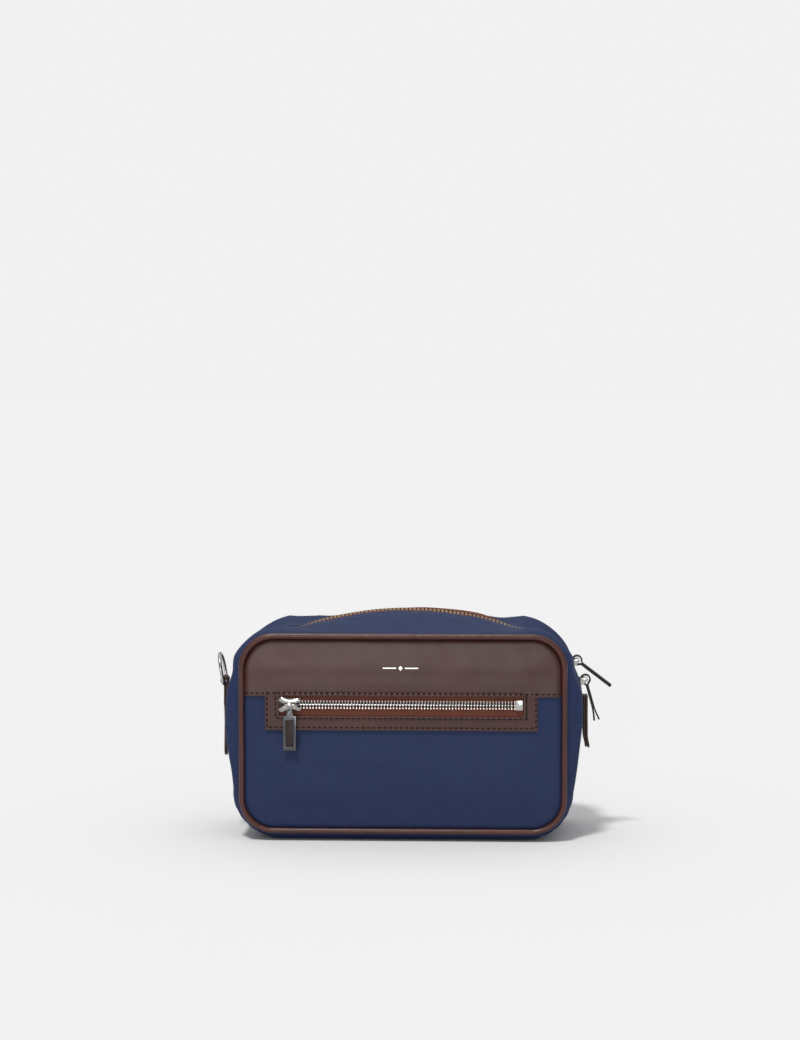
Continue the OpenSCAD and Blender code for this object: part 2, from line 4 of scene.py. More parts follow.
import bmesh
import bpy
import numpy as np
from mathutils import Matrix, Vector


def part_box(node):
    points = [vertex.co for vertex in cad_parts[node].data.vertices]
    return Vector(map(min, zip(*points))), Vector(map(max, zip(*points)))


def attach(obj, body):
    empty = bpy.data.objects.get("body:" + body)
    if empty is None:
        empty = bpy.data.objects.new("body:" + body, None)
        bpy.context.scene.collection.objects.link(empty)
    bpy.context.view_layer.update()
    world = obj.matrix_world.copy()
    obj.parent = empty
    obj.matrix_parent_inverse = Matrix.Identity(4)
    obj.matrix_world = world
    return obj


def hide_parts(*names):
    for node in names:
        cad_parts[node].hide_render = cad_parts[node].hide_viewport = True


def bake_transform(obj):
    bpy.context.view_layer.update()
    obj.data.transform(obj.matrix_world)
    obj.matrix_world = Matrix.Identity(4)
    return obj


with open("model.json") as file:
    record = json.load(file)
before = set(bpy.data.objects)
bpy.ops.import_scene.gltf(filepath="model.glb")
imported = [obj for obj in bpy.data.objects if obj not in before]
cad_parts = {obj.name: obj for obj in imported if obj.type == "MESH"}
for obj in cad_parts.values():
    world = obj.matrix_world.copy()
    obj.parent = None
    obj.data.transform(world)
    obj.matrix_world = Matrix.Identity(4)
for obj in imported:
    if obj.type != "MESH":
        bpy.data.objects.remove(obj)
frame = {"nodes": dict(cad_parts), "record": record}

# ---- The table, the lights and the camera
# A plain pale table top in a soft pale studio, with a key softbox above and to the left, a wide
# one overhead and a low one in front. The camera stands a metre and a half away and looks a
# little down on the bag.
MM = 0.001
scene = bpy.context.scene
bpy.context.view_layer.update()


class Value:
    """One shader value or colour; arithmetic on it adds Math nodes."""

    def __init__(self, finish, socket):
        self.finish, self.socket = finish, socket

    def maths(self, operation, *others):
        return self.finish.node(
            "ShaderNodeMath", {"operation": operation}, dict(enumerate((self, *others)))
        )

    def __add__(self, other):
        return self.maths("ADD", other)

    def __sub__(self, other):
        return self.maths("SUBTRACT", other)

    def __rsub__(self, other):
        return self.finish.node("ShaderNodeMath", {"operation": "SUBTRACT"}, {0: other, 1: self})

    def __mul__(self, other):
        return self.maths("MULTIPLY", other)

    def __truediv__(self, other):
        return self.maths("DIVIDE", other)

    __radd__ = __add__
    __rmul__ = __mul__


class Finish:
    """A surface finish under construction on a material or the world."""

    def __init__(self, owner):
        self.owner = owner
        owner.use_nodes = True
        self.tree = owner.node_tree
        self.tree.nodes.clear()

    def node(self, kind, settings=(), values=(), output=0):
        made = self.tree.nodes.new(kind)
        for name, value in dict(settings).items():
            if name == "stops":
                ramp = made.color_ramp.elements
                while len(ramp) < len(value):
                    ramp.new(0.5)
                for stop, (place, colour) in zip(ramp, value):
                    stop.position, stop.color = place, (*colour, 1)
            else:
                setattr(made, name, value)
        for name, value in dict(values).items():
            if isinstance(value, Value):
                self.tree.links.new(value.socket, made.inputs[name])
            else:
                made.inputs[name].default_value = value
        return Value(self, made.outputs[output] if made.outputs else None)

    def mix(self, share, first, second):
        """Two colours mixed by share; each is a Value or three numbers."""
        pair = [c if isinstance(c, Value) else (*c, 1) for c in (first, second)]
        return self.node("ShaderNodeMix", {"data_type": "RGBA"}, {0: share, 6: pair[0], 7: pair[1]}, 2)

    def noise(self, at, scale, detail=2.0, rough=0.5):
        return self.node(
            "ShaderNodeTexNoise", (),
            {"Vector": at, "Scale": scale, "Detail": detail, "Roughness": rough},
        )

    def surface(self, colour, rough, height=None, depth=0.0, **fixed):
        values = {"Base Color": colour, "Roughness": rough}
        if height is not None:
            values["Normal"] = self.node(
                "ShaderNodeBump", (), {"Strength": 1.0, "Distance": depth, "Height": height}
            )
        values.update({name.replace("_", " "): value for name, value in fixed.items()})
        shader = self.node("ShaderNodeBsdfPrincipled", (), values)
        self.node("ShaderNodeOutputMaterial", (), {"Surface": shader})
        return self.owner


def linear(*levels):
    """Screen levels from 0 to 255 as the linear colour a shader takes."""
    return tuple(
        (v / 12.92 if v <= 0.04045 else ((v + 0.055) / 1.055) ** 2.4) for v in (c / 255 for c in levels)
    )


def table_finish():
    f = Finish(bpy.data.materials.new("pale table"))
    at = f.node("ShaderNodeTexCoord", output=3)
    cloud = f.noise(at, 3.0)
    colour = f.mix(cloud, (0.733, 0.733, 0.733), (0.741, 0.741, 0.741))
    matt = f.node("ShaderNodeBsdfDiffuse", (), {"Color": colour})
    f.node("ShaderNodeOutputMaterial", (), {"Surface": matt})
    return f.owner


def in_scene(name, data):
    """A new object in the scene."""
    made = bpy.data.objects.new(name, data)
    scene.collection.objects.link(made)
    return made


TABLE = 60
table_mesh = bpy.data.meshes.new("table")
table_mesh.from_pydata(
    [(-TABLE, -TABLE, 0), (TABLE, -TABLE, 0), (TABLE, TABLE, 0), (-TABLE, TABLE, 0)], [], [(0, 1, 2, 3)]
)
table = in_scene("table", table_mesh)
table_mesh.materials.append(table_finish())

room = Finish(bpy.data.worlds.new("studio"))
scene.world = room.owner
heading = room.node("ShaderNodeTexCoord")
up = room.node("ShaderNodeSeparateXYZ", (), {0: heading}, 2)
sky = room.node(
    "ShaderNodeValToRGB",
    {"stops": [(0.0, (0.30, 0.30, 0.31)), (0.5, (0.26, 0.26, 0.27)), (0.66, (0.30, 0.30, 0.31)),
               (0.86, (0.62, 0.62, 0.63)), (1.0, (0.72, 0.72, 0.72))]},
    {0: up * 0.5 + 0.5},
)
BACKDROP = 0.882
seen = room.node("ShaderNodeLightPath")
shown = room.mix(seen, sky, (BACKDROP, BACKDROP, BACKDROP))
glow = room.node("ShaderNodeBackground", (), {"Color": shown, "Strength": 1.0})
room.node("ShaderNodeOutputWorld", (), {"Surface": glow})


def sun(name, toward, power, spread, tint=(1, 1, 1)):
    """A far softbox; toward is the direction it shines from."""
    lamp = bpy.data.lights.new(name, "SUN")
    lamp.energy, lamp.angle, lamp.color = power, math.radians(spread), tint
    rig = in_scene(name, lamp)
    rig.rotation_euler = Vector(toward).to_track_quat("Z", "Y").to_euler()


sun("key softbox", (-0.19, -0.40, 1.0), 1.75, 8)
sun("top softbox", (0.0, 0.25, 1.0), 0.40, 60)
sun("front softbox", (-0.09, -1.0, 0.10), 0.60, 17)

EYE = Vector((0.052, -1.545, 0.310))
TURN, TILT = 2.05, 3.36
camera = in_scene("camera", bpy.data.cameras.new("camera"))
camera.data.lens = 76.3
camera.data.clip_end = 300
camera.location = EYE
camera.rotation_euler = (math.radians(90 - TILT), 0, math.radians(TURN))
scene.camera = camera
scene.view_settings.view_transform = "Standard"

# ---- Front panel
# Navy coated canvas, cut to the rounded outline of the face and bagged out on the piping,
# with a window cut for the pocket zip. Stuffing makes it belly out a little between seams.
def drawn_box(node):
    """The low and high corners of a drawn solid, in millimetres."""
    return [corner * 1000 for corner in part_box(node)]


pipe_lo, pipe_hi = drawn_box("piping_front")
PIPE_R = (pipe_hi.y - pipe_lo.y) / 2
PIPE_Y = -(pipe_lo.y + PIPE_R)
SEAM_HALF, SEAM_LO, SEAM_HI = pipe_hi.x - PIPE_R, pipe_lo.z + PIPE_R, pipe_hi.z - PIPE_R
CORNER = 22.5
FLAT_HALF, LOW_C, HIGH_C = SEAM_HALF - CORNER, SEAM_LO + CORNER, SEAM_HI - CORNER
slot_lo, slot_hi = drawn_box("pocket_tape_upper")
yoke_lo, yoke_hi = drawn_box("leather_yoke")
low_tape_hi = drawn_box("pocket_tape_lower")[1]
CHAIN_Z = (slot_lo.z + low_tape_hi.z) / 2
YOKE_Y, FACE_Y = yoke_lo.y, yoke_hi.y
SLOT_X0, SLOT_X1 = slot_lo.x + 5, slot_hi.x - 5
SLOT_Z0, SLOT_Z1 = SEAM_HI - 55.05, SEAM_HI - 41.25
TAB_X0, TAB_X1, TAB_Z0 = SLOT_X0 - 9.6, SLOT_X1 + 9.6, yoke_lo.z
PANEL_T = 1.2
SEAM_IN = 1.3
WINDOW_HALF, WINDOW_OUT = 13.4, 6
MID_Z = 70


def smooth(t):
    t = np.clip(t, 0, 1)
    return t * t * (3 - 2 * t)


def hump(t, width):
    """A bell curve that is 1 where t is 0 and has died away at twice the width."""
    return np.exp(-((t / width) ** 2))


def unevenness(a, b, seed, length):
    """Soft cloth-like unevenness, about -1 to 1, with waves near length millimetres."""
    draw = np.random.default_rng(seed)
    total = 0
    for _ in range(5):
        turn, wave, phase = (
            draw.uniform(0, math.pi), length * draw.uniform(0.7, 1.6), draw.uniform(0, 6.28)
        )
        total = total + np.sin(6.283 * (a * math.cos(turn) + b * math.sin(turn)) / wave + phase)
    return total / 2.6


def seam_distance(x, z):
    """How far a point of the face lies inside the piping line."""
    ax = np.abs(x) - FLAT_HALF
    az = np.abs(z - (LOW_C + HIGH_C) / 2) - (HIGH_C - LOW_C) / 2
    beyond = np.hypot(np.maximum(ax, 0), np.maximum(az, 0))
    return CORNER - beyond - np.minimum(np.maximum(ax, az), 0)


def belly(x, z):
    """How far the face stands forward of its flat plane: round at the seams, flat at the zip."""
    d = seam_distance(x, z)
    off_x = np.maximum(np.maximum(TAB_X0 - x, x - TAB_X1), 0)
    off_z = np.maximum(np.maximum(TAB_Z0 - z, z - SLOT_Z1 - 3), 0)
    held = 1 - smooth(np.hypot(off_x, off_z) / 24)
    up = np.clip((z - SLOT_Z1 - 1) / (SEAM_HI - SLOT_Z1), 0, 1)
    swell = (2.5 + 0.7 * unevenness(x, z, 5, 60)) * smooth(d / 34)
    swell = swell * (1 - 0.92 * held) * (1 - 0.8 * smooth(up * 3))
    lean = 2.7 * up**1.1 * (1 + 0.16 * unevenness(x, z, 7, 70))
    ripple = 0.1 * unevenness(x, z, 6, 22) * smooth(d / 8) * (1 - held)
    return swell - lean - 2.1 * hump(d, 2.6) + ripple


def row_half(z, inset):
    """Half the width of the face at height z, inset from the piping line."""
    beyond = np.maximum(np.maximum(LOW_C - z, z - HIGH_C), 0)
    r = CORNER - inset
    return FLAT_HALF + np.sqrt(np.maximum(r * r - beyond * beyond, 0))


def lines(*stops, step):
    """Grid lines through every stop, about step apart."""
    out = []
    for a, b in zip(stops, stops[1:]):
        out.extend(np.linspace(a, b, max(1, round(abs(b - a) / step)) + 1)[:-1])
    return np.array(out + [stops[-1]])


def turn_out(mesh):
    """Turns the faces of a closed mesh so that they look out."""
    form = bmesh.new()
    form.from_mesh(mesh)
    if form.calc_volume(signed=True) < 0:
        bmesh.ops.reverse_faces(form, faces=form.faces)
    form.to_mesh(mesh)
    form.free()


SHARP = 38


def mesh_piece(name, points, faces, uv=None, sharp=SHARP):
    """A mesh object from millimetre points, with its faces looking out."""
    mesh = bpy.data.meshes.new(name)
    points = np.asarray(points, float)
    used = np.unique(np.concatenate([np.asarray(f) for f in faces]))
    place = np.full(len(points), -1)
    place[used] = np.arange(len(used))
    mesh.from_pydata((points[used] * MM).tolist(), [], [[int(place[i]) for i in f] for f in faces])
    if uv is not None:
        layer = mesh.uv_layers.new(name="cut")
        corner = np.zeros(len(mesh.loops), np.int32)
        mesh.loops.foreach_get("vertex_index", corner)
        layer.data.foreach_set("uv", (np.asarray(uv, float)[used][corner] * MM).ravel())
    turn_out(mesh)
    mesh.shade_smooth()
    mesh.set_sharp_from_angle(angle=math.radians(sharp))
    return in_scene(name, mesh)


def shell(name, outer, inner, uv, cells=None, sharp=SHARP):
    """A closed sheet between two grids of points; cells picks which grid squares it has."""
    nu, nv = outer.shape[:2]
    n = nu * nv
    cells = np.ones((nu - 1, nv - 1), bool) if cells is None else cells
    at = np.arange(n).reshape(nu, nv)
    open_to = np.pad(cells, 1)
    faces = []
    for i, j in zip(*np.nonzero(cells)):
        a, b, c, d = at[i, j], at[i + 1, j], at[i + 1, j + 1], at[i, j + 1]
        faces += [(a, b, c, d), (n + d, n + c, n + b, n + a)]
        for free, p, q in (
            (not open_to[i + 1, j], a, b), (not open_to[i + 2, j + 1], b, c),
            (not open_to[i + 1, j + 2], c, d), (not open_to[i, j + 1], d, a),
        ):
            if free:
                faces.append((q, p, n + p, n + q))
    points = np.concatenate([outer.reshape(-1, 3), inner.reshape(-1, 3)])
    flat = np.concatenate([uv.reshape(-1, 2)] * 2)
    return mesh_piece(name, points, faces, flat, sharp)


def grid_normals(points):
    along, across = np.gradient(points, axis=0), np.gradient(points, axis=1)
    n = np.cross(along, across)
    return n / np.maximum(np.linalg.norm(n, axis=2, keepdims=True), 1e-9)


def round_edges(piece, width, segments=2, angle=50):
    """Rounds the cut edges of a piece and settles the result into its mesh."""
    bevel = piece.modifiers.new("rounded edge", "BEVEL")
    bevel.width, bevel.segments, bevel.limit_method = width * MM, segments, "ANGLE"
    bevel.angle_limit = math.radians(angle)
    bevel.harden_normals = True
    return settled(piece)


def settled(piece):
    """Applies a piece's modifiers, leaving a plain mesh."""
    solid = piece.evaluated_get(bpy.context.evaluated_depsgraph_get())
    mesh = bpy.data.meshes.new_from_object(solid)
    piece.modifiers.clear()
    piece.data = mesh
    return piece


def fit(piece, finish, body, slot, *stands_for):
    """Gives a finished piece its finish and its body, and hides the CAD solids it stands for."""
    if finish is not None:
        piece.data.materials.clear()
        piece.data.materials.append(finish)
    if body is not None:
        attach(piece, body)
    if stands_for:
        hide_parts(*stands_for)
    return piece


def woven(name, dark, light, yarn, depth, rough, sheen, cloudy=0.35):
    """Plain-woven cloth: crossing yarns with their own shades, on the piece's cut-out map."""
    f = Finish(bpy.data.materials.new(name))
    flat = f.node("ShaderNodeUVMap", {"uv_map": "cut"})
    warp = f.node("ShaderNodeSeparateXYZ", (), {0: flat}, 0) / yarn
    weft = f.node("ShaderNodeSeparateXYZ", (), {0: flat}, 1) / yarn
    over = (warp * math.pi).maths("SINE") * (weft * math.pi).maths("SINE")
    one = f.node("ShaderNodeTexWhiteNoise", {"noise_dimensions": "1D"}, {"W": warp.maths("FLOOR")})
    two = f.node(
        "ShaderNodeTexWhiteNoise", {"noise_dimensions": "1D"}, {"W": weft.maths("FLOOR") + 311.5}
    )
    cloud = f.noise(flat, 90.0, 3.0, 0.6)
    fuzz, slub = f.noise(flat, 2600.0, 2.0), f.noise(flat, 820.0, 2.0, 0.6)
    shade = over * 0.14 + one * 0.06 + two * 0.06 + cloud * cloudy + fuzz * 0.3 + slub * 0.5 - 0.22
    colour = f.mix(shade - 0.1, dark, light)
    height = over.maths("ABSOLUTE") * 0.6 + over * 0.4 + fuzz * 0.35
    return f.surface(
        colour, cloud * 0.12 + rough, height, depth,
        Sheen_Weight=sheen, Sheen_Roughness=0.35, Sheen_Tint=(0.75, 0.82, 1.0, 1),
        Specular_IOR_Level=0.2,
    )


NAVY = woven(
    "navy coated canvas", linear(25, 37, 69), linear(45, 60, 98), 0.00062, 0.00010, 0.48, 0.03
)


def face_sheet(name, xs, zs, plane, thick, inset, cells=None, sign=-1, lift=belly):
    """A face panel on lines xs and zs, bellied forward of plane; sign -1 is the front."""
    x, z = np.meshgrid(xs, zs, indexing="ij")
    x = x * row_half(z, inset) / row_half(z * 0 + MID_Z, inset)
    outer = np.stack([x, sign * (abs(plane) + lift(x, z)), z], 2)
    inner = outer - np.array([0, sign * thick, 0])
    piece = shell(name, outer, inner, np.stack([x, z], 2), cells)
    return piece, outer


wide = float(row_half(np.array(float(MID_Z)), SEAM_IN))
FINE_EDGE = 8.0


def graded(stops, step):
    """Grid lines through the stops, close together along the two outer ones."""
    lo, hi = stops[0] + FINE_EDGE, stops[-1] - FINE_EDGE
    middle = lines(lo, *stops[1:-1], hi, step=step)
    first, last = lines(stops[0], lo, step=0.8), lines(hi, stops[-1], step=0.8)
    return np.concatenate([first[:-1], middle, last[1:]])


panel_x = graded((-wide, SLOT_X0 - WINDOW_OUT, SLOT_X1 + WINDOW_OUT, wide), 3.0)
panel_z = graded(
    (SEAM_LO + SEAM_IN, CHAIN_Z - WINDOW_HALF, CHAIN_Z + WINDOW_HALF, SEAM_HI - SEAM_IN), 2.6
)
middle_x, middle_z = (panel_x[1:] + panel_x[:-1]) / 2, (panel_z[1:] + panel_z[:-1]) / 2
window = ((middle_x > SLOT_X0 - WINDOW_OUT) & (middle_x < SLOT_X1 + WINDOW_OUT))[:, None] & (
    np.abs(middle_z - CHAIN_Z) < WINDOW_HALF
)
front_panel, grid = face_sheet(
    "front_panel_canvas", panel_x, panel_z, FACE_Y, PANEL_T, SEAM_IN, ~window
)
fit(front_panel, NAVY, "bag", "body_fabric", "front_panel")

# ---- Leather yoke
# One piece of smooth brown cowhide across the top of the front, with a tab that runs down
# round the pocket slot. Its raw edges are skived, turned and stitched down.
LEATHER_DARK, LEATHER_LIGHT = linear(40, 15, 11), linear(88, 43, 35)


def hide(name, dark, light, grain, depth, rough, coat, cloud_size=22.0):
    """Finished leather: pebbled grain with darker creases, and slow changes of shade."""
    f = Finish(bpy.data.materials.new(name))
    at = f.node("ShaderNodeTexCoord", output=3)
    bend = f.noise(at, grain * 0.5)
    crease = f.node(
        "ShaderNodeTexVoronoi", {"feature": "DISTANCE_TO_EDGE"},
        {"Vector": at, "Scale": grain, "Randomness": 1.0},
    )
    pebble = (crease * 2.4).maths("MINIMUM", 1.0)
    pore = f.noise(at, grain * 3.0, 3.0, 0.6)
    cloud, mottle = f.noise(at, cloud_size, 4.0, 0.6), f.noise(at, grain * 0.6, 3.0, 0.7)
    shade = cloud * 0.9 + pebble * 0.2 + pore * 0.22 + mottle * 0.7 - 0.65
    colour = f.mix(shade, dark, light)
    height = pebble * 0.6 + pore * 0.5 + bend * 0.4 + mottle * 0.8
    return f.surface(
        colour, cloud * 0.14 + pore * 0.1 + rough, height, depth, Coat_Weight=coat, Coat_Roughness=0.3,
        Specular_IOR_Level=0.32, Specular_Tint=(1.0, 0.88, 0.84, 1)
    )


YOKE = hide("yoke cowhide", LEATHER_DARK, LEATHER_LIGHT, 1150.0, 0.00006, 0.28, 0.28)


def yoke_lift(x, z):
    """The yoke over the panel; its turned edges stand up a little along the slot and the tab."""
    in_x = smooth((x - SLOT_X0 + 1) / 3) * smooth((SLOT_X1 + 1 - x) / 3)
    bead = (
        0.5 * hump(z - SLOT_Z1 - 0.9, 1.0) + 0.3 * hump(z - SLOT_Z0 + 0.8, 0.8)
        - 0.25 * hump(z - SLOT_Z1 - 2.2, 0.6)
    )
    return belly(x, z) + 0.25 * hump(z - 122, 9) + bead * in_x


yoke_x = graded((-wide, TAB_X0, SLOT_X0, SLOT_X1, TAB_X1, wide), 2.4)
yoke_top, fine_from = SEAM_HI - SEAM_IN, SEAM_HI - SEAM_IN - FINE_EDGE
yoke_z = np.concatenate([
    lines(TAB_Z0, SLOT_Z0 - 2.4, step=1.8), lines(SLOT_Z0 - 1.8, SLOT_Z0, step=0.6)[:-1],
    lines(SLOT_Z0, SLOT_Z1, step=1.8)[:-1], lines(SLOT_Z1, SLOT_Z1 + 3.2, step=0.4),
    lines(SLOT_Z1 + 4.6, fine_from, step=1.8)[:-1], lines(fine_from, yoke_top, step=0.8),
])
middle_x, middle_z = np.meshgrid(
    (yoke_x[1:] + yoke_x[:-1]) / 2, (yoke_z[1:] + yoke_z[:-1]) / 2, indexing="ij"
)
in_slot = (middle_x > SLOT_X0) & (middle_x < SLOT_X1) & (middle_z > SLOT_Z0) & (middle_z < SLOT_Z1)
in_tab = (middle_x > TAB_X0) & (middle_x < TAB_X1)
yoke, grid = face_sheet(
    "leather_yoke_hide", yoke_x, yoke_z, YOKE_Y, 1.15, SEAM_IN,
    ((middle_z > SLOT_Z1) | in_tab) & ~in_slot, lift=yoke_lift,
)
round_edges(yoke, 0.42, 3)
fit(yoke, YOKE, "bag", "yoke_leather", "leather_yoke")


def row_tree():
    """Sets copies of a small piece along lines: its X along the line, its Y along Across."""
    tree = bpy.data.node_groups.new("pieces along a line", "GeometryNodeTree")
    for name, kind in (
        ("Line", "NodeSocketGeometry"), ("Piece", "NodeSocketObject"), ("Spacing", "NodeSocketFloat"),
        ("Unevenness", "NodeSocketFloat"), ("Across", "NodeSocketVector"),
        ("Finish", "NodeSocketMaterial"),
    ):
        tree.interface.new_socket(name=name, in_out="INPUT", socket_type=kind)
    tree.interface.new_socket(name="Row", in_out="OUTPUT", socket_type="NodeSocketGeometry")

    def node(kind, settings=(), links=()):
        made = tree.nodes.new(kind)
        for name, value in dict(settings).items():
            setattr(made, name, value)
        for name, value in dict(links).items():
            if isinstance(value, bpy.types.NodeSocket):
                tree.links.new(value, made.inputs[name])
            else:
                made.inputs[name].default_value = value
        return made.outputs

    given = node("NodeGroupInput")
    line = node("GeometryNodeMeshToCurve", (), {"Mesh": given["Line"]})
    places = node(
        "GeometryNodeCurveToPoints", {"mode": "LENGTH"}, {0: line[0], "Length": given["Spacing"]}
    )
    turned = node(
        "FunctionNodeAxesToRotation", {"primary_axis": "X", "secondary_axis": "Y"},
        {0: places["Tangent"], 1: given["Across"]},
    )
    small = node("ShaderNodeMath", {"operation": "SUBTRACT"}, {0: 1.0, 1: given["Unevenness"]})
    large = node("ShaderNodeMath", {"operation": "ADD"}, {0: 1.0, 1: given["Unevenness"]})
    size = node(
        "FunctionNodeRandomValue", {"data_type": "FLOAT"}, {2: small[0], 3: large[0], "Seed": 7}
    )
    piece = node("GeometryNodeObjectInfo", (), {0: given["Piece"]})
    row = node(
        "GeometryNodeInstanceOnPoints", (),
        {"Points": places["Points"], "Instance": piece["Geometry"], "Rotation": turned[0],
         "Scale": size[1]},
    )
    real = node("GeometryNodeRealizeInstances", (), {0: row[0]})
    done = node("GeometryNodeSetMaterial", (), {"Geometry": real[0], "Material": given["Finish"]})
    node("NodeGroupOutput", (), {"Row": done[0]})
    return tree


ROW = row_tree()


def row_of(name, paths, piece, spacing, finish, uneven=0.0, across=(0, 1, 0)):
    """A plain mesh of pieces set along millimetre paths."""
    points, edges = [], []
    for path in paths:
        start = len(points)
        points += (np.asarray(path, float) * MM).tolist()
        edges += [(start + i, start + i + 1) for i in range(len(path) - 1)]
    mesh = bpy.data.meshes.new(name + "_line")
    mesh.from_pydata(points, edges, [])
    line = in_scene(name + "_line", mesh)
    rows = line.modifiers.new("row", "NODES")
    rows.node_group = ROW
    given = {"Piece": piece, "Spacing": spacing * MM, "Unevenness": uneven, "Across": across,
             "Finish": finish}
    for item in ROW.interface.items_tree:
        if item.in_out == "INPUT" and item.name in given:
            rows[item.identifier] = given[item.name]
    solid = line.evaluated_get(bpy.context.evaluated_depsgraph_get())
    made = in_scene(name, bpy.data.meshes.new_from_object(solid))
    made.data.name = name
    line.modifiers.clear()
    bpy.data.objects.remove(line)
    return made


def loft(name, rings, closed=False, sharp=40, uv=None):
    """A solid through a run of equal rings of points, capped unless closed on itself."""
    rings = np.asarray(rings, float)
    n, m = rings.shape[:2]
    faces = []
    for i in range(n if closed else n - 1):
        for j in range(m):
            a, b = i * m + j, i * m + (j + 1) % m
            c, d = (i + 1) % n * m + (j + 1) % m, (i + 1) % n * m + j
            faces.append((a, b, c, d))
    if not closed:
        faces += [tuple(range(m))[::-1], tuple((n - 1) * m + j for j in range(m))]
    return mesh_piece(name, rings.reshape(-1, 3), faces, uv, sharp)


def small_part(piece):
    """Takes a piece out of the scene, so that it is only a pattern for a row."""
    scene.collection.objects.unlink(piece)
    return piece


def stitch_part(long, thick):
    """One stitch of thread: a bead that dips into the leather at both ends."""
    rings = []
    turn = np.arange(6) * math.pi / 3
    bead = ((-0.5, 0.45, 0.9), (-0.36, 0.95, 0.25), (0, 1.0, 0), (0.36, 0.95, 0.25), (0.5, 0.45, 0.9))
    for t, r, sink in bead:
        rings.append(np.stack(
            [np.full(6, t * long), sink * thick - thick * 0.35 + r * thick / 2 * np.sin(turn),
             r * thick / 2 * np.cos(turn)], 1
        ))
    return small_part(loft("stitch", rings, sharp=80))


THREAD = hide("dark brown thread", linear(10, 5, 4), linear(34, 18, 14), 2600.0, 0.00006, 0.5, 0.0)
stitch = stitch_part(2.6, 0.98)


def on_yoke(points):
    """A path on the yoke's surface through (x, z) points, filled in every 2 mm."""
    flat = []
    for (x0, z0), (x1, z1) in zip(points, points[1:]):
        n = max(2, int(math.hypot(x1 - x0, z1 - z0) / 2))
        flat += [(x0 + (x1 - x0) * t, z0 + (z1 - z0) * t) for t in np.linspace(0, 1, n, endpoint=False)]
    return [(x, YOKE_Y - float(yoke_lift(np.array(x), np.array(z))), z) for x, z in flat + [points[-1]]]


edge_x0, edge_x1, edge_z = TAB_X0 + 1.3, TAB_X1 - 1.1, TAB_Z0 + 1.9
slot_top, slot_low = SLOT_Z1 + 2.1, SLOT_Z0 - 1.2
stitch_rows = [
    on_yoke([(-wide + 2.4, slot_top), (wide - 2.4, slot_top)]),
    on_yoke([(edge_x0, slot_top), (edge_x0, edge_z), (edge_x1, edge_z), (edge_x1, slot_top)]),
    on_yoke([(SLOT_X0 - 2.3, slot_top), (SLOT_X0 - 2.3, slot_low), (SLOT_X1 + 1.9, slot_low)]),
]
bar_tack = [(SLOT_X1 + 1.9 + 0.55 * (-1) ** i, slot_low + i * 0.9) for i in range(20)]
stitches = row_of("yoke_stitching", stitch_rows, stitch, 3.7, THREAD, 0.06)
fit(stitches, None, "bag", "binding_tape")
tack = row_of("slot_bar_tack", [on_yoke(bar_tack)], stitch_part(1.7, 0.62), 1.3, THREAD, 0.06)
fit(tack, None, "bag", "binding_tape")

# ---- Foil ornament
# A plain bar, lozenge, bar hot-stamped in silver foil where a mark would sit, pressed into
# the yoke so that only its foil shows.
foil_lo, foil_hi = drawn_box("foil_ornament")


def metal(name, colour, rough, streak=0.1):
    """Plated metal: fine rubbing marks and slight changes of polish."""
    f = Finish(bpy.data.materials.new(name))
    at = f.node("ShaderNodeTexCoord", output=3)
    rub = f.node("ShaderNodeMapping", (), {"Vector": at, "Scale": (1.0, 1.0, 0.18)})
    line = f.noise(rub, 2400.0, 3.0, 0.65)
    cloud = f.noise(at, 160.0, 3.0, 0.6)
    worn = f.mix(cloud * 0.6 + line * 0.4, tuple(c * 0.82 for c in colour), colour)
    return f.surface(worn, line * streak + cloud * 0.08 + rough, line, 0.000012, Metallic=1.0)


FOIL = metal("silver foil", linear(226, 226, 222), 0.24)
foil_z = (foil_lo.z + foil_hi.z) / 2


def foil_patch(x0, x1, half):
    """A thin foil patch that follows the yoke; half(x) is its half height."""
    xs = np.linspace(x0, x1, 13)
    z = foil_z + np.outer(np.array([half(x) for x in xs]), np.linspace(-1, 1, 5))
    x = np.repeat(xs[:, None], 5, 1)
    outer = np.stack([x, YOKE_Y - yoke_lift(x, z) - 0.06, z], 2)
    return shell("foil_patch", outer, outer + np.array([0, 0.12, 0]), np.stack([x, z], 2))


BAR_LONG, BAR_HALF = 9, 0.36
patches = [
    foil_patch(foil_lo.x, foil_lo.x + BAR_LONG, lambda x: BAR_HALF),
    foil_patch(foil_hi.x - BAR_LONG, foil_hi.x, lambda x: BAR_HALF),
    foil_patch(-2.9, 0.1, lambda x: max(0.02, 1.5 - abs(x + 1.4))),
]


def joined(name, pieces):
    """Several pieces made one mesh."""
    form = bmesh.new()
    for piece in pieces:
        form.from_mesh(piece.data)
    mesh = bpy.data.meshes.new(name)
    form.to_mesh(mesh)
    form.free()
    mesh.shade_smooth()
    mesh.set_sharp_from_angle(angle=math.radians(SHARP))
    for piece in pieces:
        bpy.data.objects.remove(piece)
    return in_scene(name, mesh)


fit(joined("foil_ornament_stamp", patches), FOIL, "bag", "foil", "foil_ornament")

# ---- Pocket zip
# Brown herringbone tape with bright nickel teeth clamped on its corded edge, sewn behind the
# slot; a box stop closes the right end and a cotton pouch hangs behind.
TAPE = woven("brown zip tape", linear(78, 40, 30), linear(142, 84, 64), 0.00055, 0.00012, 0.62, 0.1)
NICKEL = metal("bright nickel", linear(192, 190, 187), 0.13)
POLISHED = metal("polished slider nickel", linear(166, 164, 161), 0.09)
TEETH = metal("nickel teeth", linear(214, 212, 208), 0.2)


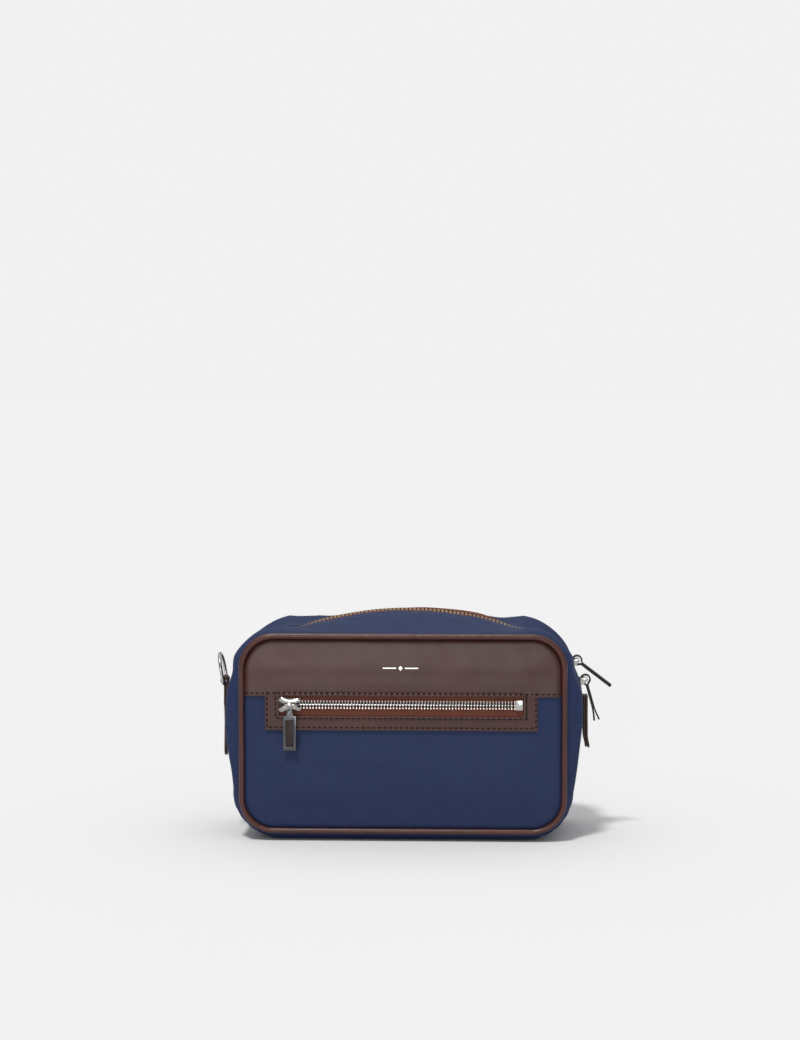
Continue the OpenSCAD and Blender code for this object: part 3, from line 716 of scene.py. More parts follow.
def tape_sheet(name, up, node):
    xs = lines(slot_lo.x, slot_hi.x, step=6)
    offs = np.array([1.5, 2.0, 2.5, 3.0, 3.4, 4.2, 5.5, 8, 13])
    x, off = np.meshgrid(xs, offs, indexing="ij")
    cord = 0.75 * hump(off - 2.5, 0.7)
    sag = 0.12 * unevenness(x, off, 31 + up, 26)
    outer = np.stack([x, FACE_Y - cord + sag * 0.5 + 0.15, CHAIN_Z + (1 if up else -1) * off], 2)
    inner = outer.copy()
    inner[:, :, 1] = FACE_Y + 0.6 + cord * 0.6
    tape = shell(name, outer, inner, np.stack([x * 0.71 + off * 0.71, x * -0.71 + off * 0.71], 2))
    fit(tape, TAPE, "bag", "tape_weave", node)


tape_sheet("pocket_tape_upper_cloth", True, "pocket_tape_upper")
tape_sheet("pocket_tape_lower_cloth", False, "pocket_tape_lower")


TOOTH_SECTION = (
    (-1, -0.6), (-0.6, -1), (0.6, -1), (1, -0.6), (1, 0.6), (0.6, 1), (-0.6, 1), (-1, 0.6)
)


def tooth_part(pitch, reach, front, back, up):
    """A pressed tooth: clamp on the tape's edge, neck, and a cupped head past the middle."""
    side = 1 if up else -1
    profile = (
        (-0.5, 0.2, 0.7), (-0.36, 0.33, 0.9), (0.36, 0.34, 0.95), (0.62, 0.2, 0.5), (0.95, 0.13, 0.35),
        (1.55, 0.13, 0.35), (1.9, 0.24, 0.95), (reach - 0.2, 0.27, 1.0), (reach, 0.18, 0.7),
    )
    rings = []
    for z, half, full in profile:
        w, mid = half * pitch, (front + back) / 2
        depth = (back - front) / 2 * full
        rings.append([(a * w, mid + b * depth, side * z) for a, b in TOOTH_SECTION])
    return small_part(loft("tooth", rings, sharp=50))


slider_lo, slider_hi = drawn_box("pocket_slider")
stop_lo = drawn_box("pocket_box_stop")[0]
PITCH = 2.1
teeth_from = slider_hi.x - 1.2
for up, node in ((True, "pocket_teeth_upper"), (False, "pocket_teeth_lower")):
    shift = 0 if up else PITCH / 2
    path = [(teeth_from + shift, FACE_Y, CHAIN_Z), (stop_lo.x - 0.4, FACE_Y, CHAIN_Z)]
    row = row_of(node + "_row", [path], tooth_part(PITCH, 3.05, -1.0, 1.1, up), PITCH, TEETH)
    fit(row, None, "bag", "teeth_metal", node)


def softened(node, finish, slot, width=0.16):
    """A metal part as drawn, with its doubled points merged and its sharp edges broken."""
    copy = in_scene(node + "_finished", frame["nodes"][node].data.copy())
    form = bmesh.new()
    form.from_mesh(copy.data)
    bmesh.ops.remove_doubles(form, verts=form.verts, dist=2e-6)
    bmesh.ops.dissolve_limit(form, angle_limit=math.radians(1), verts=form.verts, edges=form.edges)
    form.to_mesh(copy.data)
    form.free()
    copy.data.shade_smooth()
    round_edges(copy, width, 2, 32)
    for body_name, members in frame["record"]["behaviour"]["bodies"].items():
        if node in members:
            fit(copy, finish, body_name, slot, node)
    return copy


softened("pocket_box_stop", NICKEL, "teeth_metal", 0.25)
softened("pocket_top_stops", NICKEL, "teeth_metal", 0.2)

LINING = woven(
    "grey cotton lining", linear(104, 100, 94), linear(150, 146, 138), 0.00045, 0.00006, 0.75, 0.12
)


def bag_pocket(name, node, open_front):
    """A flat sewn pocket bag of lining cloth in the space its drawn solid holds."""
    lo, hi = drawn_box(node)
    xs, zs = np.linspace(lo.x, hi.x, 33), np.linspace(lo.z, hi.z, 21)
    x, z = np.meshgrid(xs, zs, indexing="ij")
    edge = np.minimum(np.minimum(x - lo.x, hi.x - x), z - lo.z)
    full = smooth(edge / 9) * (1 + 0.25 * unevenness(x, z, 41, 40))
    thick = hi.y - lo.y
    wall, sheets = 0.6, []
    sign = -1 if open_front else 1
    flat_y = lo.y if open_front else hi.y
    for base, reach in ((0.0, 0.0), (0.15, thick - wall - 0.2)):
        y = flat_y - sign * (base + np.minimum(full, 1.2) / 1.2 * reach) - sign * 0.05
        outer = np.stack([x, y, z], 2)
        cells = None
        if base == 0.0 and open_front:
            mx, mz = (xs[1:] + xs[:-1]) / 2, (zs[1:] + zs[:-1]) / 2
            gap = ((mx > SLOT_X0) & (mx < SLOT_X1))[:, None] & (np.abs(mz - CHAIN_Z) < 5)
            cells = ~gap
        inner = outer - np.array([0, sign * wall * 0.5, 0])
        sheets.append(shell(name, outer, inner, np.stack([x, z], 2), cells))
    return joined(name, sheets), (float(hi.x - lo.x) * MM, 2 * float(hi.z - lo.z) * MM)


pouch, size = bag_pocket("pocket_pouch_cloth", "pocket_pouch", True)
fit(pouch, LINING, "bag", "lining_cloth", "pocket_pouch")

# ---- Pocket slider, link and pull
# A die-cast nickel slider whose domed plate carries a bar; a short link turns on the bar and
# holds a gunmetal frame with a leather strip pressed into its window.
GUNMETAL = metal("dark gunmetal", linear(92, 91, 94), 0.22)
INLAY = hide("pull inlay leather", linear(28, 20, 19), linear(54, 42, 40), 1500.0, 0.00004, 0.42, 0.1)
SLIDER_X = (slider_lo.x + slider_hi.x) / 2
BAR_Y, TOP_Y = slider_lo.y + 1, FACE_Y - 1.3


def sweep(path, side, sections, closed=False, name="sweep", sharp=40):
    """A solid whose sections (across, side) follow a path that lies square to side."""
    path, side = np.asarray(path, float), np.asarray(side, float)
    ahead = np.roll(path, -1, 0) - np.roll(path, 1, 0) if closed else np.gradient(path, axis=0)
    ahead /= np.linalg.norm(ahead, axis=1, keepdims=True)
    across = np.cross(side, ahead)
    sections = np.asarray(sections, float)
    if sections.ndim == 2:
        sections = np.repeat(sections[None], len(path), 0)
    rings = path[:, None] + across[:, None] * sections[..., :1] + side * sections[..., 1:]
    return loft(name, rings, closed, sharp)


def rounded_box(width, height, edge, n=3):
    """A rounded rectangle section: width along the first axis, height along the second."""
    out = []
    for cx, cy, start in ((1, 1, 0), (-1, 1, 90), (-1, -1, 180), (1, -1, 270)):
        for k in range(n):
            a = math.radians(start + 90 * k / (n - 1))
            out.append((cx * (width / 2 - edge) + edge * math.cos(a),
                        cy * (height / 2 - edge) + edge * math.sin(a)))
    return np.array(out)


def ellipse(width, height, n=12):
    turn = np.arange(n) * 2 * math.pi / n
    return np.stack([width / 2 * np.cos(turn), height / 2 * np.sin(turn)], 1)


def slider_body(stations, plate, gap, name):
    """A slider lying along X in its own frame, Y down into the zip, Z across.

    stations are (x, half width, half of the notch between its wings)."""
    parts = []
    for top in (True, False):
        for side in (-1, 1):
            rings = []
            for x, half, notch in stations:
                dome = 0.4 * (1 - (x / stations[-1][0]) ** 2)
                y0, y1 = (-plate - dome, 0.0) if top else (gap + plate * 0.8, gap)
                lip = 0.5 if top else -0.3
                h = half * (1.0 if top else 0.93)
                section = (
                    (y1, notch), (y0 + lip * 0.3, notch), (y0, notch + 0.3 * (h - notch)),
                    (y0 + lip * 0.1, h - 0.9), (y0 + lip * 0.4, h - 0.3), (y0 + lip, h), (y1, h),
                )
                rings.append([(x, y, side * w) for y, w in section])
            parts.append(loft(name, rings, sharp=46))
    for side in (-1, 1):
        path = [(x, 0.35, side * (half - 0.4)) for x, half, _ in stations if x > stations[0][0] * 0.3]
        parts.append(sweep(path, (0, 1, 0), rounded_box(0.5, 1.7, 0.2), name=name))
    return parts


def placed(piece, axes, origin):
    """Moves a piece from its own frame: columns of axes are where X, Y and Z go."""
    co = np.zeros(len(piece.data.vertices) * 3)
    piece.data.vertices.foreach_get("co", co)
    co = co.reshape(-1, 3) @ np.asarray(axes, float).T + np.asarray(origin, float) * MM
    piece.data.vertices.foreach_set("co", co.ravel())
    turn_out(piece.data)
    piece.data.update()
    return piece


POCKET_PLAN = [
    (-7.7, 4.0, 2.6), (-7.3, 4.8, 2.4), (-6.2, 5.2, 1.9), (-4.8, 5.1, 1.0), (-3.4, 4.7, 0.1),
    (-1.6, 4.1, 0), (0.4, 3.85, 0), (2.6, 3.85, 0), (3.8, 3.95, 0.3), (5.2, 4.2, 1.5), (6.6, 4.3, 1.9),
    (7.2, 4.1, 2.1), (7.5, 3.6, 2.3),
]
parts = slider_body(POCKET_PLAN, 1.25, 3.2, "pocket_slider_cast")
arch = []
for t in np.linspace(0, 1, 21):
    arch.append((-4.6 + 10.4 * t, max(-0.9 - 3.6 * math.sin(math.pi * t) ** 0.5, BAR_Y - TOP_Y), 0))
parts.append(sweep(arch, (0, 0, 1), ellipse(1.3, 1.7), name="slider_bridge"))
cast = joined("pocket_slider_cast", parts)
placed(cast, np.eye(3), (SLIDER_X, TOP_Y, CHAIN_Z))
fit(cast, POLISHED, "pocket_slider_body", "slider_metal", "pocket_slider")
softened("pocket_link", NICKEL, "slider_metal", 0.22)
softened("pocket_pull_frame", GUNMETAL, "pull_metal", 0.42)
softened("pocket_pull_inlay", INLAY, "strap_leather", 0.3)

# ---- Back panel and slip pocket
# The back is the same canvas without leather, bagged out on its own piping; inside it a flat
# slip pocket of lining cloth is sewn to the back lining.
def back_lift(x, z):
    """The back face: evenly full, and pinched in at its seam."""
    d = seam_distance(x, z)
    return 1.6 * smooth(d / 38) - 2.3 * hump(d, 3.2) + 0.5 * unevenness(x, z, 9, 60) * smooth(d / 20)


back_panel, grid = face_sheet(
    "back_panel_canvas", panel_x, panel_z, FACE_Y, PANEL_T, SEAM_IN, sign=1, lift=back_lift
)
fit(back_panel, NAVY, "bag", "body_fabric", "back_panel")
slip, size = bag_pocket("slip_pocket_cloth", "slip_pocket", False)
fit(slip, LINING, "bag", "lining_cloth", "slip_pocket")

# ---- Zip strips and gusset
# Two navy strips run over the top from side seam to side seam, each folded and stitched along
# the main zip; one wide gusset makes both sides and the bottom. Full bag: they swell and crease.
ring_hi = drawn_box("base_gusset")[1]
flap_lo, flap_hi = drawn_box("flap_front")
FULL_HALF = ring_hi.x
EDGE_Y = -flap_lo.y
PUFF_Y = EDGE_Y - 6.6
RIDGE_Z = SEAM_HI + 3.6
CROWN = flap_hi.z - RIDGE_Z
ARC_R = 62.0
DRAWN_CORNER = 27
ARC_HALF, BASE_R = SEAM_HALF - DRAWN_CORNER, SEAM_LO + DRAWN_CORNER
DOME_HALF = ARC_HALF - 12
ARC_X = FULL_HALF - ARC_R
ARC_Z = RIDGE_Z - math.sqrt(ARC_R**2 - (ARC_HALF - ARC_X) ** 2)
ARC_TOP = math.acos((ARC_HALF - ARC_X) / ARC_R)
UPPER = HIGH_C - ARC_Z + CORNER * math.pi / 2
JOIN = 2.83


def outline(s):
    """Piping line, full line and outward direction at stations s, 0 bottom to 5 top middle."""
    low = np.radians(-90 + 90 * (s - 1))
    high = np.maximum(0, ((s - 3) * UPPER - (HIGH_C - ARC_Z)) / CORNER)
    steps = [s < 1, s < 2, s < 3, s < 4, s >= 4]
    k = 1 - (s - 2)
    seam_x = np.select(steps, [FLAT_HALF * s, FLAT_HALF + CORNER * np.cos(low), SEAM_HALF + 0 * s,
                               FLAT_HALF + CORNER * np.cos(high), FLAT_HALF * (5 - s)])
    rise = np.where(high == 0, ARC_Z + (s - 3) * UPPER, HIGH_C + CORNER * np.sin(high))
    seam_z = np.select(steps, [SEAM_LO + 0 * s, LOW_C + CORNER * np.sin(low),
                               LOW_C + (ARC_Z - LOW_C) * (s - 2), rise, SEAM_HI + 0 * s])
    side = FULL_HALF - ARC_HALF - BASE_R
    full_x = np.select(steps, [ARC_HALF * s, ARC_HALF + BASE_R * np.cos(low),
                               ARC_HALF + BASE_R + side * np.sin(math.pi / 2 * (s - 2)),
                               ARC_X + ARC_R * np.cos(ARC_TOP * (s - 3)), ARC_HALF * (5 - s)])
    full_z = np.select(steps, [0 * s, BASE_R + BASE_R * np.sin(low), BASE_R + (ARC_Z - BASE_R) * (s - 2),
                               ARC_Z + ARC_R * np.sin(ARC_TOP * (s - 3)), RIDGE_Z + 0 * s])
    out_x = np.select(steps, [0 * s, np.cos(low), 1 - 0 * k, np.cos(high), 0 * s])
    out_z = np.select(steps, [-1 + 0 * s, np.sin(low), 0 * s, np.sin(high), 1 + 0 * s])
    return seam_x, seam_z, full_x, full_z, out_x, out_z


CREASES = [
    (-14, -31, 20, -7, 0.9, 3.0), (6, -32, 34, -11, -0.8, 2.4), (30, -13, 60, -31, 1.0, 2.6),
    (-46, -10, -22, -28, -0.7, 2.6), (-70, -12, -48, -27, 0.6, 3.0), (44, -10, 72, -26, -0.7, 2.4),
    (-30, 9, 6, 30, 0.9, 3.2), (14, 30, 46, 10, -0.8, 2.8), (-66, 28, -44, 10, 0.7, 3.0),
    (52, 8, 76, 27, 0.7, 2.8), (-6, 12, 16, 31, -0.6, 2.4),
]


def crest(x):
    """Height of the closed mouth's middle over its ridges: a dome, then a shallow valley."""
    rise = CROWN * (1 - ((x - 3.0) / DOME_HALF) ** 2)
    return np.where(rise > 0, rise, -2.0 * (1 - np.exp(np.minimum(rise, 0) / 2.0)))


def stations(start, *runs, mirror=False):
    """Stations from start through runs of (end, count); mirror adds the left half over the top."""
    out = [np.array([float(start)])]
    for end, count in runs:
        out.append(np.linspace(out[-1][-1], end, count)[1:])
    q = np.concatenate(out)
    return np.concatenate([q, (10 - q)[::-1][1:]]) if mirror else q


def half_station(q):
    """Station q as 0 bottom to 5 top, and the side it is on: 1 right, -1 left."""
    turn = np.mod(q, 10)
    return np.where(turn <= 5, turn, 10 - turn), np.where(turn <= 5, 1.0, -1.0)


def skin(q, y, under=0.0, plain=False):
    """A point of the bag's skin at station q (0 bottom, 5 top, 10 bottom) and depth y."""
    q, y = np.broadcast_arrays(np.asarray(q, float), np.asarray(y, float))
    s, side = half_station(q)
    sx, sz, fx, fz, nx, nz = outline(s)
    puff = np.sqrt(np.clip(1 - (np.clip(np.abs(y) - PUFF_Y, 0, None) / (EDGE_Y - PUFF_Y)) ** 2, 0, 1))
    x, z = sx + (fx - sx) * puff, sz + (fz - sz) * puff
    # The mouth: a dome that leans back on the right, where the front strip shows most
    lean = 1.2 + 3.2 * smooth(side * (5 - s) / 0.8)
    t = (y - lean) / np.where(y > lean, PUFF_Y - lean, PUFF_Y + lean)
    rise = np.where(s > 4, crest(side * ARC_HALF * (5 - s)),
                    crest(side * ARC_HALF) * hump(4 - s, 0.17))
    z = z + rise * np.clip(1 - t * t, 0, 1)
    # The corners: a front and a back swell with the tight zip in the valley between
    corner = hump(s - 3.68, 0.26)
    rear = 5.0 * smooth((s - 3.2) / 0.4) - 2.6 * smooth((s - 3.85) / 0.35)
    near = 6.2 * smooth((s - 3.34) / 0.24) * (1 - smooth((s - 3.8) / 0.3))
    swells = near * hump(y + 29, 10) - 0.3 * corner * hump(y, 8)
    bump = 0.0 if plain else swells + rear * hump(y - 29, 9)
    if not plain:
        soft = puff * smooth((EDGE_Y - np.abs(y)) / 9)
        flank = smooth((s - 1.2) / 0.8) * (1 - smooth((s - 3.9) / 0.5))
        waist = smooth((s - 1.9) / 0.4) * (1 - smooth((s - 2.95) / 0.4))
        bump = bump - np.where(side < 0, 2.1, 0.9) * soft * waist
        groove = 0.9 * hump(y, 10) * smooth((s - 1.6) / 0.5) * (1 - smooth((s - 2.8) / 0.3))
        bump = bump + flank * soft * (0.9 * unevenness(s * 50 + side * 13, y, 17, 46) - groove)
        lips = smooth((s - 3.0) / 0.1) * (1 - smooth((s - 3.5) / 0.3)) * hump(np.abs(y) - 11, 5)
        bump = bump + np.where(side > 0, 1.5, 0.2) * lips
        pucker = hump(s - 1.5, 0.42) * hump(EDGE_Y - np.abs(y) - 4, 5)
        bump = bump + 0.25 * pucker * np.sin(s * 34 + side * 2 + np.sign(y))
        top = smooth((s - 4) / 0.15)
        along_x = side * ARC_HALF * (5 - s)
        for x0, y0, x1, y1, high, wide_at in CREASES:
            dx, dy = x1 - x0, y1 - y0
            u = np.clip(((along_x - x0) * dx + (y - y0) * dy) / (dx * dx + dy * dy), 0, 1)
            away = np.hypot(along_x - x0 - u * dx, y - y0 - u * dy)
            bump = bump + 1.35 * top * high * hump(away, wide_at) * np.sin(math.pi * u) ** 0.6
        bump = bump + top * soft * 0.35 * unevenness(along_x, y, 23, 26)
        bump = (
            bump * smooth((EDGE_Y - np.abs(y)) / 4)
            * smooth((np.abs(y) + 1) / 6 * np.where(s > 3.2, 1, 9))
        )
    off = bump - under
    return np.stack([side * (x + nx * off), y + 0 * x, z + nz * off], -1)


def distances(path):
    """How far along a path each of its points lies."""
    return np.concatenate([[0], np.cumsum(np.linalg.norm(np.diff(path, axis=0), axis=1))])


def cut_map(along, across):
    """The cut-out map of a grid of cloth."""
    return np.stack(np.broadcast_arrays(along[:, None], across[None, :]), 2)


def strip_grid(qs, ys, under=0.0, drop=None):
    """Points and cut-out map of a strip of the skin over stations qs and depths ys."""
    q, y = np.meshgrid(qs, ys, indexing="ij")
    points = skin(q, y, under if drop is None else under + drop[None, :])
    return points, cut_map(distances(points[:, len(ys) // 2]), distances(points[len(qs) // 2]))


def cloth_shell(name, points, flat, thick, outward, sharp=50):
    """A strip with its thickness laid on the inner side."""
    n = grid_normals(points)
    if (n[len(n) // 2, n.shape[1] // 2] * np.asarray(outward)).sum() < 0:
        n = -n
    return shell(name, points, points - n * thick, flat, sharp=sharp)


def halves(piece, left, right):
    """Cuts a finished piece at x = 0, keeping its shading whole across the cut."""
    mesh = piece.data
    normal = np.zeros(len(mesh.loops) * 3)
    mesh.corner_normals.foreach_get("vector", normal)
    keep = mesh.attributes.new("whole_normal", "FLOAT_VECTOR", "CORNER")
    keep.data.foreach_set("vector", normal.astype(np.float32))
    pair = []
    for name, sign in ((left, -1), (right, 1)):
        part = in_scene(name, mesh.copy())
        part.data.name = name
        form = bmesh.new()
        form.from_mesh(part.data)
        away = [f for f in form.faces if f.calc_center_median().x * sign < 0]
        bmesh.ops.delete(form, geom=away, context="FACES")
        form.to_mesh(part.data)
        form.free()
        store = part.data.attributes["whole_normal"]
        normal = np.zeros(len(part.data.loops) * 3, np.float32)
        store.data.foreach_get("vector", normal)
        part.data.attributes.remove(store)
        part.data.normals_split_custom_set(normal.reshape(-1, 3).tolist())
        pair.append(part)
    bpy.data.objects.remove(piece)
    return pair


def over_mouth(piece, names, which, finish, slot, stands_left, stands_right):
    """Splits a strip over the mouth into left and right halves at x = 0, finishes each and hides the CAD
    solids it stands for.

    names has a * where each half's name says left or right."""
    made = halves(piece, names.replace("*", "left"), names.replace("*", "right"))
    for part, sign, nodes in ((made[0], -1, stands_left), (made[1], 1, stands_right)):
        fit(part, finish, None, slot, *nodes)
        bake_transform(part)
    return made


strip_q = stations(JOIN, (3, 5), (4, 37), (5, 46), mirror=True)
shoulder_y = np.array([
    -41.4, -40.3, -39.9, -39.2, -38.3, -37.2, -36, -34.8, -33.4, -31.6, -29.4, -27, -24.4, -21.8, -19.2,
    -16.8, -14.4, -12.2, -10.4, -8.8, -7.6, -6.7, -6.1, -5.7, -5.5,
])
fold_drop = np.where(shoulder_y > -6.2, (shoulder_y + 6.2) ** 2 * 1.5, 0)
for which, sign in (("front", 1), ("back", -1)):
    lap = 0.5 * (1 - smooth((np.minimum(strip_q, 10 - strip_q) - JOIN) / 0.1))
    points, flat = strip_grid(strip_q, sign * shoulder_y, under=-lap[:, None], drop=fold_drop)
    strip = cloth_shell("strip", points, flat, 1.3, (0, 0, 1))
    made = over_mouth(
        strip, f"strip_{which}_*_canvas", which, NAVY, "strip_fabric",
        (f"strip_{which}_left",), (f"strip_{which}_right", f"flap_{which}"),
    )

gusset_q = stations(-JOIN, (-2, 16), (-1, 22), (1, 34), (2, 22), (JOIN, 16))
half_y = shoulder_y[shoulder_y < -7]
gusset_y = np.concatenate([half_y, [-5, -2.5, 0, 2.5, 5], -half_y[::-1]])
points, flat = strip_grid(gusset_q, gusset_y)
gusset = cloth_shell("base_gusset_canvas", points, flat, 1.3, (0, 0, -1))
fit(gusset, NAVY, "bag", "body_fabric", "base_gusset")

# Edge stitching along both folds, and the sewn side seams
NAVY_THREAD = hide("navy thread", linear(60, 72, 104), linear(96, 108, 140), 2600.0, 0.00006, 0.5, 0.0)
fine_turn = np.arange(6) * math.pi / 3
fine_stitch = small_part(loft("fine_stitch", [
    [(t * 2.4, 0.42 / 2 * r * math.cos(a), 0.05 - sink + 0.42 / 2 * r * math.sin(a)) for a in fine_turn]
    for t, r, sink in ((-0.5, 0.4, 0.25), (-0.35, 0.9, 0.06), (0.35, 0.9, 0.06), (0.5, 0.4, 0.25))
], sharp=80))
seam_y = np.linspace(-38.5, 38.5, 60)
for side, q in (("right", JOIN + 0.045), ("left", 10 - JOIN - 0.045)):
    paths = [skin(np.full(60, q), seam_y, -0.4)]
    paths = [paths[0] if side == "right" else paths[0][::-1]]
    seam = row_of(f"side_seam_stitching_{side}", paths, fine_stitch, 3.1, NAVY_THREAD, 0.05, (0, 0, 1))
    fit(seam, None, "bag", "binding_tape")
path_q = strip_q[::-1]
for which, sign in (("front", -1), ("back", 1)):
    paths = [skin(path_q, np.full(len(path_q), sign * y)) for y in (7.4, 12.6)]
    rows = row_of(f"zip_stitching_{which}", paths, fine_stitch, 3.1, NAVY_THREAD, 0.05)
    over_mouth(rows, f"zip_stitching_{which}_*", which, None, "binding_tape", (), ())

# ---- Main zip
# Brown tape with nickel teeth between the two folded strips, over the crown and down both
# corners, its tape ends closed with small clamps.
zip_q = stations(2.88, (4, 38), (5, 42), mirror=True)
tape_y = np.array([-12.0, -9, -7, -5.6, -4.6, -3.8, -3.2, -2.7, -2.2, -1.7])


def zip_grid(qs, ys, under):
    """Points of the zip, which stands up between the folds along the crown of the mouth."""
    q, y = np.meshgrid(qs, ys, indexing="ij")
    meet = 1 - 0.97 * smooth((3.13 - np.minimum(q, 10 - q)) / 0.06)
    y = np.where(np.abs(y) < 3, y * meet, y)
    base = skin(q, y, 0.0)
    s, side = half_station(q)
    tilt = 0.5 + 1.0 * smooth((base[..., 0] + 10) / 50)
    lift = 1.7 * smooth((s - 3.9) / 0.5) * (
        smooth((8 - np.abs(y)) / 4) + tilt * smooth(y / 5) * smooth((11 - y) / 4)
    )
    cord = 0.55 * hump(np.abs(y) - 2.6, 0.7)
    nx, nz = outline(s)[4:]
    off = lift + cord - under
    base[..., 0] += side * nx * off
    base[..., 2] += nz * off
    return base


for which, sign in (("front", 1), ("back", -1)):
    points = zip_grid(zip_q, sign * tape_y, 2.0)
    along, across = np.moveaxis(cut_map(np.arange(len(zip_q)) * 2.0, tape_y), 2, 0)
    flat = np.stack([along * 0.71 + across * 0.71, across * 0.71 - along * 0.71], 2)
    tape = cloth_shell("tape", points, flat, 0.6, (0, 0, 1))
    sides = {"front": (("zip_tape_left",), ("zip_tape_right", "flap_tape_front")),
             "back": (("flap_tape_back",), ())}[which]
    made = over_mouth(tape, f"zip_tape_{which}_*_cloth", which, TAPE, "tape_weave", *sides)

MAIN_PITCH = 2.8
OLD_NICKEL = metal("aged nickel teeth", linear(168, 154, 128), 0.32)


def main_tooth(sign):
    """A main tooth in its own frame: X along the zip, Y across it, Z out of the bag."""
    profile = (
        (-0.5, 0.17, 0.8), (-0.35, 0.36, 1.1), (0.5, 0.37, 1.15), (1.0, 0.24, 0.9), (1.5, 0.24, 0.9),
        (1.8, 0.34, 1.2), (2.9, 0.34, 1.2), (3.05, 0.24, 0.9),
    )
    rings = []
    for y, half, tall in profile:
        w = half * MAIN_PITCH
        rings.append([(a * w, sign * y, b * tall) for a, b in TOOTH_SECTION])
    return small_part(loft("main_tooth", rings, sharp=50))


fine_q = stations(3.13, (4, 60), (5, 80), mirror=True)[::-1]
for which, sign in (("front", -1), ("back", 1)):
    centre = zip_grid(fine_q, np.array([0.0]), 2.1)[:, 0]
    keep = distances(centre) >= (0.0 if which == "front" else MAIN_PITCH / 2)
    teeth = row_of(f"main_teeth_{which}", [centre[keep]], main_tooth(sign), MAIN_PITCH, OLD_NICKEL)
    sides = {"front": (("zip_teeth_left",), ("zip_teeth_right", "flap_teeth_front")),
             "back": (("flap_teeth_back",), ())}[which]
    over_mouth(teeth, f"main_teeth_{which}_*", which, None, "teeth_metal", *sides)
softened("zip_end_stops", NICKEL, "teeth_metal", 0.3)

# ---- Piping
# Round cord wrapped in a bias strip of brown leather and caught in the seam all round each
# face; its ends butt at the middle of the top and bottom, where the leather pinches.
PIPING = hide(
    "piping leather", linear(50, 20, 14), linear(92, 46, 36), 1500.0, 0.00003, 0.26, 0.35, 40.0
)


def rounded_loop(inset, n=12):
    """The face outline inset by some millimetres, as (x, z) points."""
    r, out = CORNER - inset, []
    for cx, cz, a0 in ((1, HIGH_C, 90), (1, LOW_C, 0), (-1, LOW_C, -90), (-1, HIGH_C, 180)):
        for a in np.radians(np.linspace(a0, a0 - 90, n)):
            out.append((cx * FLAT_HALF + r * math.cos(a), cz + r * math.sin(a)))
    return out


BUTT_X = 9.6


def piping(name, depth, node):
    path = np.array([(x, depth, z) for x, z in rounded_loop(0, 22)])
    full = []
    for a, b in zip(path, np.roll(path, -1, 0)):
        n = max(1, round(float(np.linalg.norm(b - a)) / 1.6))
        full += [a + (b - a) * k / n for k in range(n)]
    full = np.array(full)
    run = distances(full)
    joint = hump(full[:, 0] - BUTT_X, 0.9)
    bent = ((np.abs(full[:, 0]) > FLAT_HALF) & ((full[:, 2] < LOW_C) | (full[:, 2] > HIGH_C))).astype(float)
    radius = PIPE_R * (1 - 0.17 * joint + 0.02 * np.sin(run / 3.7) + 0.012 * np.sin(run / 1.3 + 1))
    high = np.where(full[:, 2] > 74, 1, -1)
    full[:, 2] += 0.22 * np.tanh((BUTT_X - full[:, 0]) / 0.8) * joint * high
    turn = np.arange(14) * 2 * math.pi / 14
    fold = 1 + 0.035 * bent[:, None] * np.sin(run[:, None] * 2.1) * np.maximum(0, np.cos(turn))[None, :]
    ring = np.stack([wave(turn)[None, :] * radius[:, None] * fold for wave in (np.cos, np.sin)], 2)
    tube = sweep(full, (0, 1, 0), ring, True, name, 60)
    return fit(tube, PIPING, "bag", "piping_leather", node)


piping("piping_front_leather", -PIPE_Y, "piping_front")
piping("piping_back_leather", PIPE_Y, "piping_back")

# ---- Seam bindings and linings
# Inside, a brown tape binds each seam; grey cotton lines the faces, the gusset and the strips;
# a stiff board lies between gusset and lining at the bottom.
BINDING = woven("brown seam binding", linear(44, 28, 24), linear(78, 52, 44), 0.0008, 0.0001, 0.7, 0.1)


for which in ("front", "back"):
    lo, hi = drawn_box(f"binding_{which}")
    ring = np.array(rounded_loop(6.0))
    ring = np.concatenate([ring, ring[:1]])
    depth = np.linspace(lo.y, hi.y, 6)
    belly_out = 0.35 * np.sin(np.linspace(0, math.pi, 6))
    grid = np.zeros((len(ring), 6, 3))
    mid = np.array([0, (LOW_C + HIGH_C) / 2])
    back_off = 3.6 * np.clip((ring[:, 1] - SLOT_Z1) / 20, 0, 1) if which == "front" else 0 * ring[:, 1]
    for k in range(6):
        toward = (ring - mid) / np.linalg.norm(ring - mid, axis=1, keepdims=True)
        at = ring - toward * belly_out[k]
        grid[:, k] = np.stack([at[:, 0], depth[k] + back_off * (1 - k / 5), at[:, 1]], 1)
    flat = cut_map(np.arange(len(ring)) * 8.0, depth)
    band = cloth_shell(f"binding_{which}_tape", grid, flat, 0.8, (0, 0, 1))
    fit(band, BINDING, "bag", "binding_tape", f"binding_{which}")

for which, sign in (("front", 1), ("back", -1)):
    lo, hi = drawn_box(f"lining_{which}")
    xs = lines(-104, 104, step=5)
    zs = lines(SEAM_LO + 7, SEAM_HI - 7, step=5)
    x, z = np.meshgrid(xs, zs, indexing="ij")
    x = x * row_half(z, 7) / row_half(z * 0 + MID_Z, 7)
    wrinkle = 0.28 * unevenness(x, z, 51 + sign, 34)
    y = (hi.y if sign > 0 else lo.y) + 0 * x
    y = y + (3.0 * np.clip((z - SLOT_Z1) / (SEAM_HI - SLOT_Z1), 0, 1) if sign > 0 else 0)
    outer = np.stack([x, y + sign * (wrinkle - 0.3), z], 2)
    inner = outer - np.array([0, sign * 0.5, 0])
    sheet = shell(f"lining_{which}_cloth", outer, inner, np.stack([x, z], 2))
    fit(sheet, LINING, "bag", "lining_cloth", f"lining_{which}")

lining_q = stations(-JOIN, (-1, 26), (1, 16), (JOIN, 26))
lining_y = np.concatenate([[-36.3], np.linspace(-33, 33, 16), [36.3]])


